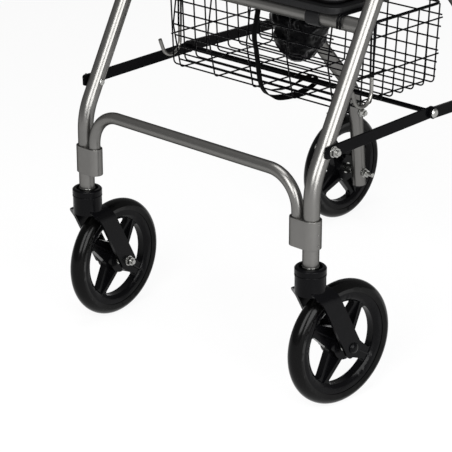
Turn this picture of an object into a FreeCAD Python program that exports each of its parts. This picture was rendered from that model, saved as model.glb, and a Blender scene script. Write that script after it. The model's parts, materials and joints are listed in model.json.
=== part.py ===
import FreeCAD, Part
import math
import os
import re
import Sketcher

# Four-wheeled walking frame with a seat, a wire basket and swivelling front wheels.
# X points to the user's right, Y to the rear, Z up. The origin lies on the floor under the middle.

V = FreeCAD.Vector
X_AXIS = V(1, 0, 0)
Y_AXIS = V(0, 1, 0)
Z_AXIS = V(0, 0, 1)
NO_TURN = FreeCAD.Rotation()
Z_TO_X = FreeCAD.Rotation(Y_AXIS, 90)
Z_TO_MINUS_X = FreeCAD.Rotation(Y_AXIS, -90)
SIDES = (("left", -1), ("right", 1))

# Driving dimensions in millimetres and degrees.
SIZES = (
    # Stance
    ("wheelbase", 663.0),
    ("front_track_half", 242.0),
    ("rear_track_half", 259.0),
    ("caster_trail", 61.0),
    ("caster_toe_left", 4.0),
    ("caster_toe_right", -6.0),
    ("turning_clearance", 0.05),
    ("seating_gap", 0.3),
    # Tubes
    ("frame_tube_radius", 12.7),
    ("frame_tube_wall", 1.5),
    ("crossbar_radius", 9.5),
    ("crossbar_wall", 1.2),
    ("seat_tube_radius", 11.0),
    ("seat_tube_wall", 1.5),
    # Front legs
    ("leg_bottom_height", 241.0),
    ("leg_bend_height", 366.0),
    ("leg_bend_radius", 110.0),
    ("leg_lean", 27.5),
    ("leg_top_height", 850.0),
    ("fold_pivot_height", 751.0),
    ("seat_tube_height", 580.0),
    ("strut_drop", 164.0),
    # Crossbar and its brackets
    ("crossbar_height", 376.0),
    ("crossbar_bend_radius", 55.0),
    ("crossbar_inset", 24.0),
    ("crossbar_lead", 3.3),
    ("bracket_bottom_height", 269.5),
    ("bracket_length", 45.0),
    ("bracket_wall", 3.0),
    # Rear legs
    ("rear_leg_half", 216.0),
    ("rear_leg_foot_height", 75.0),
    ("rear_leg_vertex_height", 260.0),
    ("rear_leg_low_lean", 6.0),
    ("rear_leg_bend_radius", 100.0),
    ("rear_leg_top_excess", 17.0),
    ("plug_depth", 14.0),
    ("plug_flange", 2.0),
    # Wheels
    ("wheel_radius", 100.0),
    ("tyre_inner_radius", 82.0),
    ("tyre_shoulder_radius", 89.0),
    ("tyre_half_width", 14.0),
    ("tyre_base_half_width", 12.0),
    ("rim_inner_radius", 67.0),
    ("rim_step_radius", 73.0),
    ("rim_half_width", 11.0),
    ("rim_step_half_width", 7.0),
    ("web_half_width", 6.0),
    ("spoke_root_half_width", 17.0),
    ("spoke_end_half_width", 9.0),
    ("spoke_rib_half_width", 1.2),
    ("spoke_angle_left", 54.0),
    ("spoke_angle_right", 57.5),
    ("spoke_angle_rear", 30.0),
    ("spoke_count", 4.0),
    ("opening_corner_radius", 5.0),
    ("hub_radius", 24.0),
    ("hub_half_width", 16.0),
    # Bearings and bolts
    ("axle_radius", 4.0),
    ("hub_bearing_radius", 11.0),
    ("hub_bearing_width", 7.0),
    ("hub_bearing_inset", 2.0),
    ("nut_flats", 13.0),
    ("nut_height", 6.5),
    ("washer_radius", 8.5),
    ("washer_thickness", 1.5),
    ("dome_head_radius", 7.5),
    ("dome_head_height", 4.5),
    ("bolt_end_length", 4.0),
    ("rivet_head_radius", 5.5),
    ("rivet_head_height", 2.2),
    ("rear_axle_tail", 21.0),
    # Casters
    ("crown_radius", 23.7),
    ("crown_top_height", 226.0),
    ("caster_bearing_radius", 14.0),
    ("caster_bearing_width", 8.0),
    ("caster_bearing_bottom_height", 204.0),
    ("stem_pin_radius", 6.0),
    ("stem_shoulder_radius", 8.0),
    ("stem_collar_radius", 13.2),
    ("stem_collar_height", 6.0),
    ("stem_plug_length", 50.0),
    ("stem_nut_radius", 9.5),
    ("stem_nut_height", 6.0),
    ("cap_radius", 24.3),
    ("cap_height", 14.5),
    ("cap_base_height", 2.8),
    ("cap_recess_radius", 18.0),
    ("cap_groove_depth", 0.9),
    ("cap_groove_height", 1.6),
    ("cap_shoulder", 2.2),
    ("fork_arm_inner", 27.0),
    ("fork_arm_thickness", 5.5),
    ("fork_arm_half_width", 16.0),
    ("fork_arm_slope", 27.5),
    ("fork_hood_height", 207.0),
    ("fork_hood_thickness", 9.0),
    ("fork_hood_corner_radius", 21.0),
    ("fork_shoulder_height", 184.0),
    ("fork_shoulder_radius", 60.0),
    ("fork_lip_reach", 20.0),
    ("fork_lip_radius", 4.0),
    ("fork_tip_length", 13.0),
    ("fork_tip_corner_radius", 8.0),
    ("axle_sleeve_radius", 8.0),
    # Side struts and cross rod
    ("strut_bar_height", 18.0),
    ("strut_thickness", 4.0),
    ("strut_end_overhang", 14.5),
    ("strut_end_corner_radius", 3.0),
    ("knee_lobe_radius", 9.5),
    ("knee_from_stem", 256.0),
    ("knee_rise", 5.0),
    ("cross_rod_radius", 4.0),
    ("knee_cap_radius", 7.5),
    ("knee_cap_height", 4.0),
    ("strut_spacer_radius", 8.0),
    # Seat
    ("seat_half_width", 199.0),
    ("seat_front_overhang", 16.0),
    ("seat_depth", 258.0),
    ("seat_board_gap", 1.3),
    ("seat_board_thickness", 10.0),
    ("seat_corner_radius", 22.0),
    ("cushion_thickness", 27.0),
    ("cushion_inset", 4.0),
    ("cushion_roll", 14.0),
    ("hinge_clip_wall", 3.0),
    ("hinge_clip_width", 26.0),
    ("hinge_clip_offset", 150.0),
    ("seat_stud_radius", 5.0),
    ("seat_stud_length", 6.0),
    # Basket
    ("basket_half_width", 186.0),
    ("basket_front_from_stem", 147.0),
    ("basket_length", 206.0),
    ("basket_floor_drop", 149.0),
    ("basket_wall_height", 127.0),
    ("basket_flare", 3.0),
    ("basket_bend_lead", 15.5),
    ("basket_rim_lead", 8.0),
    ("basket_bend_radius", 1.6),
    ("basket_wire", 2.5),
    ("basket_wire_count", 8.0),
    ("basket_runner_radius", 2.0),
    ("rim_wire_radius", 2.5),
    ("rim_corner_radius", 16.0),
    ("hanger_half_width", 203.0),
    ("hanger_from_stem", 178.0),
    ("hanger_wire_radius", 2.0),
    ("hanger_drop", 78.75),
    ("hanger_bend_radius", 10.0),
    ("hanger_lip_length", 20.0),
    ("hook_radius", 3.0),
    ("hook_bend_radius", 20.0),
    ("hook_drop", 43.0),
    ("hook_tip_length", 19.0),
    ("hook_tip_turn", 158.0),
    # Shopping bag lying in the basket
    ("bag_width", 110.0),
    ("bag_depth", 80.0),
    ("bag_height", 112.0),
    ("bag_offset", -41.0),
    ("bag_from_stem", 295.0),
    # Pull strap
    ("strap_width", 10.0),
    ("strap_thickness", 2.0),
    ("strap_offset", 18.0),
    ("strap_upper_rise", 94.0),
    ("strap_upper_gap", 29.0),
    ("strap_lower_rise", 12.0),
    ("strap_lower_gap", 17.5),
    ("strap_front_drop", 20.0),
    ("strap_front_reach", 14.0),
    ("strap_sag", 26.5),
    ("strap_sag_reach", 70.0),
    ("strap_loop_drop", 11.0),
    ("strap_loop_reach", 8.0),
    ("strap_lap_reach", 14.0),
    ("strap_fold_reach", 53.0),
    ("strap_fold_drop", 11.0),
    ("strap_tail_reach", 21.0),
    ("strap_tail_drop", 6.5),
    ("strap_loose_bend_radius", 60.0),
    ("strap_bend_radius", 30.0),
    ("strap_loop_bend_radius", 8.0),
    ("strap_rod_bend_radius", 6.0),
    # Brakes
    ("brake_pin_from_axle", 16.0),
    ("brake_pin_rise", 122.0),
    ("brake_pin_radius", 3.0),
    ("brake_barrel_radius", 7.0),
    ("brake_bracket_thickness", 14.0),
    ("brake_shoe_half_width", 11.5),
    ("brake_gap", 3.12),
    ("brake_pad_length", 30.0),
    ("brake_pad_thickness", 12.0),
    ("brake_pad_rear_angle", 90.0),
    # Handles
    ("handle_tube_radius", 11.1),
    ("handle_tube_wall", 1.5),
    ("handle_insertion", 100.0),
    ("grip_rise", 65.0),
    ("handle_bend_radius", 45.0),
    ("handle_reach", 155.0),
    ("grip_radius", 17.0),
    ("grip_length", 112.0),
    ("grip_end_wall", 4.0),
    ("collar_radius", 17.5),
    ("collar_length", 30.0),
    ("collar_lip", 5.0),
    ("collar_edge_radius", 1.6),
    ("collar_play", 0.15),
    ("knob_radius", 16.0),
    ("knob_height", 13.0),
    ("knob_lobe_radius", 6.5),
    ("knob_lobes", 5.0),
    ("knob_screw_radius", 4.0),
    ("knob_boss_radius", 9.0),
    ("knob_boss_height", 8.0),
    ("lever_mount_radius", 16.5),
    ("lever_mount_length", 15.0),
    ("lever_pivot_drop", 26.0),
    ("lever_pin_radius", 3.0),
    ("lever_cheek_thickness", 3.5),
    ("lever_barrel_radius", 6.5),
    ("lever_barrel_half_width", 7.0),
    ("lever_rod_radius", 4.5),
    ("lever_drop", 48.0),
    ("lever_length", 112.0),
    # Backrest
    ("backrest_drop", 55.0),
    ("backrest_tube_radius", 8.0),
    ("backrest_bow", 112.0),
    ("backrest_pad_radius", 14.0),
    ("backrest_pad_edge_radius", 4.6),
    ("backrest_pad_half_angle", 30.0),
    # Cutting tools reach this far past what they cut
    ("overrun", 40.0),
)

# Heights that follow from the sizes above, worked out in the sheet.
FOLLOWING = (
    ("strut_height", "seat_tube_height - strut_drop"),
    ("basket_floor_height", "seat_tube_height - basket_floor_drop"),
    ("basket_rim_height", "basket_floor_height + basket_wall_height + rim_wire_radius + basket_wire / 2"),
    ("hanger_bottom_height", "basket_rim_height - hanger_drop"),
    ("hook_bottom_height", "hanger_bottom_height - hook_drop"),
    ("backrest_height", "leg_top_height - backrest_drop"),
    ("grip_height", "leg_top_height + grip_rise"),
)

doc = FreeCAD.newDocument("Rollator")
sheet = doc.addObject("Spreadsheet::Sheet", "Sizes")
cells = [(alias, str(number)) for alias, number in SIZES]
cells += [(alias, "=" + text) for alias, text in FOLLOWING]
for row, (alias, content) in enumerate(cells, start=1):
    sheet.set("A%d" % row, alias)
    sheet.setAlias("B%d" % row, alias)
for row, (alias, content) in enumerate(cells, start=1):
    sheet.set("B%d" % row, content)
doc.recompute()

NAMES = {alias for alias, content in cells}
nodes = []


class Values:
    """Reads a driving dimension from the sheet by its name."""

    def __getattr__(self, alias):
        return float(sheet.get(alias))


S = Values()


def formula(text):
    """Turn a formula in the sheet's names into an expression that FreeCAD reads."""
    def with_sheet(found):
        word = found.group()
        return "Sizes." + word if word in NAMES else word
    return re.sub(r"[a-z][a-z_]+", with_sheet, text)


def publish(piece, label):
    """Name a finished sub-part and put it on the list of exported nodes."""
    piece.Label = label
    nodes.append(piece)
    return piece


def feature(label, shape, placement=None):
    """A sub-part whose shape is worked out here, placed after its shape is set."""
    piece = doc.addObject("Part::Feature", label)
    piece.Shape = shape
    if placement is not None:
        piece.Placement = placement
    return publish(piece, label)


def primitive(kind, name, at=("0", "0", "0"), turn=NO_TURN, **bound):
    """A Part primitive whose place and sizes are bound to the sheet."""
    piece = doc.addObject("Part::" + kind, name)
    piece.Placement = FreeCAD.Placement(V(), turn)
    for axis, text in zip("xyz", at):
        piece.setExpression("Placement.Base." + axis, formula(text))
    for prop, text in bound.items():
        piece.setExpression(prop, formula(text))
    return piece


def cylinder(name, radius, length, at, turn=NO_TURN):
    """A bound cylinder that starts at a point and runs along its turned Z axis."""
    return primitive("Cylinder", name, at, turn, Radius=radius, Height=length)


def cut(name, base, tool):
    """Base less tool."""
    piece = doc.addObject("Part::Cut", name)
    piece.Base = base
    piece.Tool = tool
    return piece


def fuse(name, pieces):
    """One solid of several."""
    piece = doc.addObject("Part::MultiFuse", name)
    piece.Shapes = pieces
    return piece


def group(name, pieces):
    """Separate solids that share one node."""
    piece = doc.addObject("Part::Compound", name)
    piece.Links = pieces
    return piece


def mirror(name, source):
    """The same piece on the other side of the middle plane."""
    piece = doc.addObject("Part::Mirroring", name)
    piece.Source = source
    piece.Normal = X_AXIS
    return piece


def pair(label, right_piece):
    """A node of two equal solids, the second mirrored to the left."""
    return publish(group(label, [right_piece, mirror(label + "_mirrored", right_piece)]), label)


def ring(name, outer, inner, length, at, turn=NO_TURN):
    """A bound tube or bearing ring."""
    body = cylinder(name + "_outside", outer, length, at, turn)
    bore = cylinder(name + "_bore", inner, length, at, turn)
    return cut(name, body, bore)


def origin_plane(body, role):
    """One of a body's own origin planes."""
    for item in body.Origin.OriginFeatures:
        if item.Role == role:
            return item
    raise ValueError(role)


def outline(body, role, corners):
    """A closed sketch whose corners are all placed by formulas."""
    sketch = body.newObject("Sketcher::SketchObject", body.Name + "_outline")
    sketch.AttachmentSupport = [(origin_plane(body, role), "")]
    sketch.MapMode = "FlatFace"
    count = len(corners)
    spots = [V(math.cos(2 * math.pi * i / count), math.sin(2 * math.pi * i / count), 0) * S.wheel_radius
             for i in range(count)]
    for i in range(count):
        sketch.addGeometry(Part.LineSegment(spots[i], spots[(i + 1) % count]), False)
    for i in range(count):
        sketch.addConstraint(Sketcher.Constraint("Coincident", i, 2, (i + 1) % count, 1))
    for i, (across, up) in enumerate(corners):
        for kind, text, axis in (("DistanceX", across, -2), ("DistanceY", up, -1)):
            if text == "0":
                sketch.addConstraint(Sketcher.Constraint("PointOnObject", i, 1, axis))
            else:
                number = sketch.addConstraint(Sketcher.Constraint(kind, -1, 1, i, 1, S.wheel_radius))
                sketch.setExpression("Constraints[%d]" % number, formula(text))
    return sketch


def lathe(name, corners):
    """A body turned about Z from an outline of radius and height formulas."""
    body = doc.addObject("PartDesign::Body", name)
    sketch = outline(body, "XZ_Plane", corners)
    turned = body.newObject("PartDesign::Revolution", name + "_turned")
    turned.Profile = sketch
    turned.ReferenceAxis = (sketch, ["V_Axis"])
    turned.Angle = 360
    sketch.Visibility = False
    return body


def place(piece, at, turn=NO_TURN):
    """Turn a piece and bind its place to the sheet."""
    piece.Placement = FreeCAD.Placement(V(), turn)
    for axis, text in zip("xyz", at):
        piece.setExpression("Placement.Base." + axis, formula(text))
    return piece


def times(side, text):
    """A formula for the right side, or its negative for the left."""
    return text if side > 0 else "-(" + text + ")"


def bent_path(points, radii):
    """Straight runs through the points, each inner corner rounded by its radius."""
    edges = []
    start = points[0]
    for before, corner, after, radius in zip(points, points[1:], points[2:], radii):
        back = (before - corner).normalize()
        ahead = (after - corner).normalize()
        half_turn = (math.pi - back.getAngle(ahead)) / 2
        reach = radius * math.tan(half_turn)
        arc_start = corner + back * reach
        arc_end = corner + ahead * reach
        inward = (back + ahead).normalize()
        arc_middle = corner + inward * (radius / math.cos(half_turn) - radius)
        edges.append(Part.LineSegment(start, arc_start).toShape())
        edges.append(Part.Arc(arc_start, arc_middle, arc_end).toShape())
        start = arc_end
    edges.append(Part.LineSegment(start, points[-1]).toShape())
    return Part.Wire(edges)


def rod_along(path, radius):
    """A round bar that follows a path."""
    first = path.OrderedEdges[0]
    start = path.OrderedVertexes[0].Point
    along = first.tangentAt(first.FirstParameter)
    section = Part.Wire(Part.makeCircle(radius, start, along))
    return path.makePipeShell([section], True, True)


def tube_along(path, radius, wall):
    """A round tube that follows a path."""
    return rod_along(path, radius).cut(rod_along(path, radius - wall))


def bar(radius, start, end):
    """A round bar between two points."""
    return Part.makeCylinder(radius, start.distanceToPoint(end), start, end - start)


def mirrored(shape):
    """A shape on the other side of the middle plane."""
    return shape.mirror(V(), X_AXIS)


HEXAGON_SIDES = 6


def hexagon(flats, height, start, along):
    """A hexagonal nut or bolt head."""
    radius = flats / 2 / math.cos(math.pi / HEXAGON_SIDES)
    turns = [2 * math.pi * i / HEXAGON_SIDES for i in range(HEXAGON_SIDES + 1)]
    corners = [V(radius * math.cos(turn), radius * math.sin(turn), 0) for turn in turns]
    solid = Part.Face(Part.makePolygon(corners)).extrude(Z_AXIS * height)
    solid.Placement = FreeCAD.Placement(start, FreeCAD.Rotation(Z_AXIS, along))
    return solid


# Points of the frame that several pieces share, as (Y, Z) worked out from the sheet.
STEM_Y = -(S.wheelbase + S.caster_trail) / 2
REAR_AXLE_Y = STEM_Y + S.wheelbase
LEAN = math.radians(S.leg_lean)
LEG_AHEAD = V(0, math.sin(LEAN), math.cos(LEAN))
LEG_BACK = V(0, math.cos(LEAN), -math.sin(LEAN))
STEM_Y_FORMULA = "-(wheelbase + caster_trail) / 2"
REAR_AXLE_Y_FORMULA = "(wheelbase - caster_trail) / 2"
SEAT_TUBE_Y_FORMULA = STEM_Y_FORMULA + " + (seat_tube_height - leg_bend_height) * tan(leg_lean)"
KNEE_Y_FORMULA = STEM_Y_FORMULA + " + knee_from_stem"
KNEE_Z_FORMULA = "strut_height + knee_rise"


def on_leg(x, height):
    """The front leg's axis at a height above its bend."""
    return V(x, STEM_Y + (height - S.leg_bend_height) * math.tan(LEAN), height)


def rear_vertex(x):
    """Where the rear leg's two straight runs meet."""
    rise = S.rear_leg_vertex_height - S.wheel_radius
    return V(x, REAR_AXLE_Y - rise * math.tan(math.radians(S.rear_leg_low_lean)), S.rear_leg_vertex_height)


def on_rear_leg(x, height):
    """The rear leg's axis at any height."""
    vertex = rear_vertex(x)
    if height < vertex.z:
        return vertex + V(0, math.tan(math.radians(S.rear_leg_low_lean)), -1) * (vertex.z - height)
    pivot = on_leg(x, S.fold_pivot_height)
    share = (height - vertex.z) / (pivot.z - vertex.z)
    return vertex + (pivot - vertex) * share


LEG_FACE = S.front_track_half + S.frame_tube_radius
REAR_LEG_FACE = S.rear_leg_half + S.frame_tube_radius
STRUT_INNER = LEG_FACE + S.seating_gap
STRUT_OUTER = STRUT_INNER + S.strut_thickness
REAR_STRUT_INNER = STRUT_OUTER + S.seating_gap
REAR_STRUT_OUTER = REAR_STRUT_INNER + S.strut_thickness
STRUT_INNER_FORMULA = "front_track_half + frame_tube_radius + seating_gap"
REAR_STRUT_INNER_FORMULA = STRUT_INNER_FORMULA + " + strut_thickness + seating_gap"
KNEE = V(0, STEM_Y + S.knee_from_stem, S.strut_height + S.knee_rise)
BOLT_HOLE_RADIUS = S.axle_radius + S.turning_clearance


def cross_hole(point, radius=BOLT_HOLE_RADIUS):
    """A hole along X through whatever stands at a point."""
    return bar(radius, point - X_AXIS * S.overrun, point + X_AXIS * S.overrun)


def front_leg_path(x):
    """Up from the caster, round the bend and along the lean."""
    points = (V(x, STEM_Y, S.leg_bottom_height), V(x, STEM_Y, S.leg_bend_height), on_leg(x, S.leg_top_height))
    return bent_path(points, (S.leg_bend_radius,))


def front_legs():
    """Two bent steel tubes, drilled for the fold pivot, the strut and the handle knob."""
    for name, side in SIDES:
        x = side * S.front_track_half
        tube = tube_along(front_leg_path(x), S.frame_tube_radius, S.frame_tube_wall)
        knob_hole = bar(S.knob_screw_radius + S.turning_clearance, knob_base(x),
                        knob_base(x) + LEG_BACK * S.overrun)
        holes = (cross_hole(on_leg(x, S.fold_pivot_height)), cross_hole(on_leg(x, S.strut_height)), knob_hole)
        feature("front_leg_" + name, tube.cut(holes))


def crossbar():
    """The thin bar low between the front legs, its ends turned down into the brackets."""
    half = S.front_track_half - S.crossbar_inset
    y = STEM_Y - S.crossbar_lead
    points = (V(-half, y, S.bracket_bottom_height), V(-half, y, S.crossbar_height),
              V(half, y, S.crossbar_height), V(half, y, S.bracket_bottom_height))
    path = bent_path(points, (S.crossbar_bend_radius, S.crossbar_bend_radius))
    feature("crossbar", tube_along(path, S.crossbar_radius, S.crossbar_wall))


def crossbar_bracket():
    """A folded sleeve round the leg and the crossbar's end, seen from above like a figure of eight."""
    leg_centre = V(S.front_track_half, STEM_Y, S.bracket_bottom_height)
    bar_centre = leg_centre - V(S.crossbar_inset, S.crossbar_lead, 0)
    leg_sleeve = S.frame_tube_radius + S.turning_clearance + S.bracket_wall
    bar_sleeve = S.crossbar_radius + S.turning_clearance + S.bracket_wall
    between = bar_centre - leg_centre
    spread = math.degrees(math.acos((leg_sleeve - bar_sleeve) / between.Length))
    corners = []
    for centre, radius, turns in ((leg_centre, leg_sleeve, (1, -1)), (bar_centre, bar_sleeve, (-1, 1))):
        for turn in turns:
            direction = FreeCAD.Rotation(Z_AXIS, turn * spread).multVec(V(between).normalize())
            corners.append(centre + direction * radius)
    web = Part.Face(Part.makePolygon(corners + corners[:1])).extrude(Z_AXIS * S.bracket_length)
    sleeve = Part.makeCylinder(leg_sleeve, S.bracket_length, leg_centre)
    sleeve = sleeve.fuse((Part.makeCylinder(bar_sleeve, S.bracket_length, bar_centre), web))
    bores = (Part.makeCylinder(leg_sleeve - S.bracket_wall, S.bracket_length, leg_centre),
             Part.makeCylinder(bar_sleeve - S.bracket_wall, S.bracket_length, bar_centre))
    return sleeve.cut(bores).removeSplitter()


def crossbar_brackets():
    """Both folded sleeves."""
    right = crossbar_bracket()
    feature("crossbar_brackets", Part.makeCompound([right, mirrored(right)]))


def seat_tube():
    """The straight tube between the front legs that carries the seat and the basket."""
    centre = on_leg(0, S.seat_tube_height)
    reach = X_AXIS * (S.front_track_half - S.frame_tube_radius / 2)
    tube = bar(S.seat_tube_radius, centre - reach, centre + reach)
    tube = tube.cut(bar(S.seat_tube_radius - S.seat_tube_wall, centre - reach, centre + reach))
    legs = [rod_along(front_leg_path(side * S.front_track_half), S.frame_tube_radius) for name, side in SIDES]
    feature("seat_tube", tube.cut(legs))


def caster_stems():
    """Steel stems pressed into the feet of the front legs, each with a collar and a lock nut."""
    stem = lathe("caster_stem", (
        ("0", "caster_bearing_bottom_height - stem_nut_height"),
        ("stem_nut_radius", "caster_bearing_bottom_height - stem_nut_height"),
        ("stem_nut_radius", "caster_bearing_bottom_height"),
        ("stem_pin_radius", "caster_bearing_bottom_height"),
        ("stem_pin_radius", "crown_top_height - seating_gap"),
        ("stem_shoulder_radius", "crown_top_height - seating_gap"),
        ("stem_shoulder_radius", "leg_bottom_height - stem_collar_height"),
        ("stem_collar_radius", "leg_bottom_height - stem_collar_height"),
        ("stem_collar_radius", "leg_bottom_height"),
        ("frame_tube_radius - frame_tube_wall - turning_clearance", "leg_bottom_height"),
        ("frame_tube_radius - frame_tube_wall - turning_clearance", "leg_bottom_height + stem_plug_length"),
        ("0", "leg_bottom_height + stem_plug_length"),
    ))
    place(stem, ("front_track_half", STEM_Y_FORMULA, "0"))
    pair("caster_stems", stem)


def caster_bearings():
    """Two ball bearings on each stem, drawn as plain rings."""
    rings = []
    upper = "crown_top_height - seating_gap - caster_bearing_width"
    for name, height in (("lower", "caster_bearing_bottom_height"), ("upper", upper)):
        rings.append(ring("caster_bearing_" + name, "caster_bearing_radius",
                          "stem_pin_radius + turning_clearance / 2", "caster_bearing_width",
                          ("front_track_half", STEM_Y_FORMULA, height)))
    pair("caster_bearings", group("caster_bearing_set", rings))


DOME_SHARE = 0.9


def through_bolt(head_seat, nut_seat, head_radius, head_height):
    """A cross bolt: a domed head on one seat, and a washer and a nut on the other with the end beyond."""
    away = V(head_seat - nut_seat).normalize()
    tail = S.washer_thickness + S.nut_height + S.bolt_end_length
    shank = bar(S.axle_radius, nut_seat - away * tail, head_seat + away * (head_height / 2))
    head = Part.makeCylinder(head_radius, head_height, head_seat, away)
    crown_centre = head_seat + away * head_height
    crown = [edge for edge in head.Edges if isinstance(edge.Curve, Part.Circle)
             and edge.Curve.Center.distanceToPoint(crown_centre) < head_height / 2]
    head = head.makeFillet(head_height * DOME_SHARE, crown)
    washer = Part.makeCylinder(S.washer_radius, S.washer_thickness, nut_seat, -away)
    nut = hexagon(S.nut_flats, S.nut_height, nut_seat - away * S.washer_thickness, -away)
    return shank.fuse((head, washer, nut))


def front_frame_bolts():
    """Bolts of the fold pivots, head inboard, and rivet-headed bolts of the struts' front ends."""
    pivot = on_leg(0, S.fold_pivot_height)
    pivot_bolt = through_bolt(pivot + X_AXIS * (S.rear_leg_half - S.frame_tube_radius),
                              pivot + X_AXIS * LEG_FACE, S.dome_head_radius, S.dome_head_height)
    strut = on_leg(0, S.strut_height)
    strut_bolt = through_bolt(strut + X_AXIS * (S.front_track_half - S.frame_tube_radius),
                              strut + X_AXIS * (STRUT_OUTER + S.turning_clearance),
                              S.rivet_head_radius, S.rivet_head_height)
    right = [pivot_bolt, strut_bolt]
    feature("front_frame_bolts", Part.makeCompound(right + [mirrored(bolt) for bolt in right]))


def knob_base(x):
    """The point on the leg's axis that the handle knob screws towards."""
    return on_leg(x, S.leg_top_height) - LEG_AHEAD * (S.collar_length / 2)


def along_leg(start, distance):
    """A point further along the lean."""
    return start + LEG_AHEAD * distance


def handle_collars():
    """Plastic collars on the leg tops, each with a boss for the knob."""
    collars = []
    for name, side in SIDES:
        x = side * S.front_track_half
        top = on_leg(x, S.leg_top_height)
        base = along_leg(top, -S.collar_length)
        body = bar(S.collar_radius, base, along_leg(top, S.collar_lip))
        edges = [edge for edge in body.Edges if isinstance(edge.Curve, Part.Circle)]
        body = body.makeFillet(S.collar_edge_radius, edges)
        boss_end = S.collar_radius + S.knob_boss_height
        body = body.fuse(bar(S.knob_boss_radius, knob_base(x), knob_base(x) + LEG_BACK * boss_end))
        leg_bore = bar(S.frame_tube_radius + S.turning_clearance, along_leg(base, -S.overrun), top)
        handle_bore = bar(S.handle_tube_radius + S.collar_play, base, along_leg(top, S.overrun))
        screw_bore = bar(S.knob_screw_radius + S.turning_clearance, knob_base(x),
                         knob_base(x) + LEG_BACK * (boss_end + S.overrun))
        collars.append(body.cut((leg_bore, handle_bore, screw_bore)))
    feature("handle_collars", Part.makeCompound(collars))


def handle_knobs():
    """Lobed knobs that clamp the handles at their height."""
    for name, side in SIDES:
        x = side * S.front_track_half
        reach = S.collar_radius + S.knob_boss_height + S.seating_gap
        screw_start = S.handle_tube_radius + S.seating_gap
        head = Part.makeCylinder(S.knob_radius - S.knob_lobe_radius / 2, S.knob_height)
        lobe_distance = S.knob_radius - S.knob_lobe_radius
        lobes = []
        for i in range(int(S.knob_lobes)):
            spot = FreeCAD.Rotation(Z_AXIS, 360 / S.knob_lobes * i).multVec(X_AXIS * lobe_distance)
            lobes.append(Part.makeCylinder(S.knob_lobe_radius, S.knob_height, spot))
        head = head.fuse(lobes).removeSplitter()
        screw = bar(S.knob_screw_radius, V(0, 0, screw_start - reach), V(0, 0, S.knob_height / 2))
        feature("handle_knob_" + name, head.fuse(screw),
                FreeCAD.Placement(knob_base(x) + LEG_BACK * reach, FreeCAD.Rotation(Z_AXIS, LEG_BACK)))


def backrest():
    """A bowed tube welded between the front legs, with a foam sleeve round its middle."""
    end = on_leg(S.front_track_half, S.backrest_height)
    middle = V(0, end.y + S.backrest_bow, end.z)
    arc = Part.Arc(V(-end.x, end.y, end.z), middle, end)
    path = Part.Wire(arc.toShape())
    legs = [rod_along(front_leg_path(side * S.front_track_half), S.frame_tube_radius) for name, side in SIDES]
    feature("backrest_hoop", rod_along(path, S.backrest_tube_radius).cut(legs))
    half = math.radians(S.backrest_pad_half_angle)
    circle = arc.toShape().Curve
    centre = circle.Center
    radius = circle.Radius
    ends = [centre + V(radius * math.sin(turn), radius * math.cos(turn), 0) for turn in (-half, half)]
    pad_path = Part.Wire(Part.Arc(ends[0], middle, ends[1]).toShape())
    pad = rod_along(pad_path, S.backrest_pad_radius)
    edges = [edge for edge in pad.Edges if isinstance(edge.Curve, Part.Circle) and edge.Curve.Radius
             < S.backrest_pad_radius + S.turning_clearance]
    pad = pad.makeFillet(S.backrest_pad_edge_radius, edges)
    feature("backrest_pad", pad.cut(rod_along(pad_path, S.backrest_tube_radius)))


def arch_block(half_width, top, corner_radius):
    """A long upright block from the floor, with two rounded upper edges along Y."""
    reach = S.caster_trail + S.overrun
    corners = (V(0, -reach, top), V(half_width, -reach, top), V(half_width, -reach, 0),
               V(-half_width, -reach, 0), V(-half_width, -reach, top), V(0, -reach, top))
    return Part.Face(bent_path(corners, (corner_radius,) * 4)).extrude(Y_AXIS * 2 * reach)


def fork_side():
    """The fork's outline seen from the side, made as wide as the fork: hood above, sloping arm below."""
    outer = S.fork_arm_inner + S.fork_arm_thickness
    slope = math.radians(S.fork_arm_slope)
    down = V(0, math.sin(slope), -math.cos(slope))
    across = V(0, math.cos(slope), math.sin(slope)) * S.fork_arm_half_width
    tip = V(0, S.caster_trail, S.wheel_radius) + down * S.fork_tip_length
    front_tip = tip - across
    rear_tip = tip + across
    front_shoulder = front_tip - down * ((S.fork_shoulder_height - front_tip.z) / math.cos(slope))
    rear_top = rear_tip - down * ((S.fork_hood_height - rear_tip.z) / math.cos(slope))
    front_top = V(0, -S.fork_lip_reach, S.fork_hood_height)
    middle_top = (front_top + rear_top) / 2
    corners = (middle_top, front_top, front_shoulder, front_tip, rear_tip, rear_top, middle_top)
    radii = (S.fork_lip_radius, S.fork_shoulder_radius, S.fork_tip_corner_radius, S.fork_tip_corner_radius,
             S.fork_lip_radius)
    side = Part.Face(bent_path(corners, radii)).extrude(X_AXIS * 2 * outer)
    side.translate(-X_AXIS * outer)
    return side


def fork():
    """Moulded caster fork: a crown on a hood whose two walls slope back to the axle."""
    outer = S.fork_arm_inner + S.fork_arm_thickness
    inner_height = S.fork_hood_height - S.fork_hood_thickness
    hood = arch_block(outer, S.fork_hood_height, S.fork_hood_corner_radius).common(fork_side())
    crown = Part.makeCylinder(S.crown_radius, S.crown_top_height - inner_height, V(0, 0, inner_height))
    hollow = arch_block(S.fork_arm_inner, inner_height, S.fork_hood_corner_radius - S.fork_arm_thickness)
    bore = Part.makeCylinder(S.caster_bearing_radius + S.turning_clearance, S.crown_top_height)
    whole = crown.fuse(hood).removeSplitter()
    return whole.cut((hollow, bore, cross_hole(V(0, S.caster_trail, S.wheel_radius))))


def caster_placement(side):
    """Where a caster stands, turned a little about its stem."""
    toe = S.caster_toe_right if side > 0 else S.caster_toe_left
    return FreeCAD.Placement(V(side * S.front_track_half, STEM_Y, 0), FreeCAD.Rotation(Z_AXIS, toe))


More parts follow.
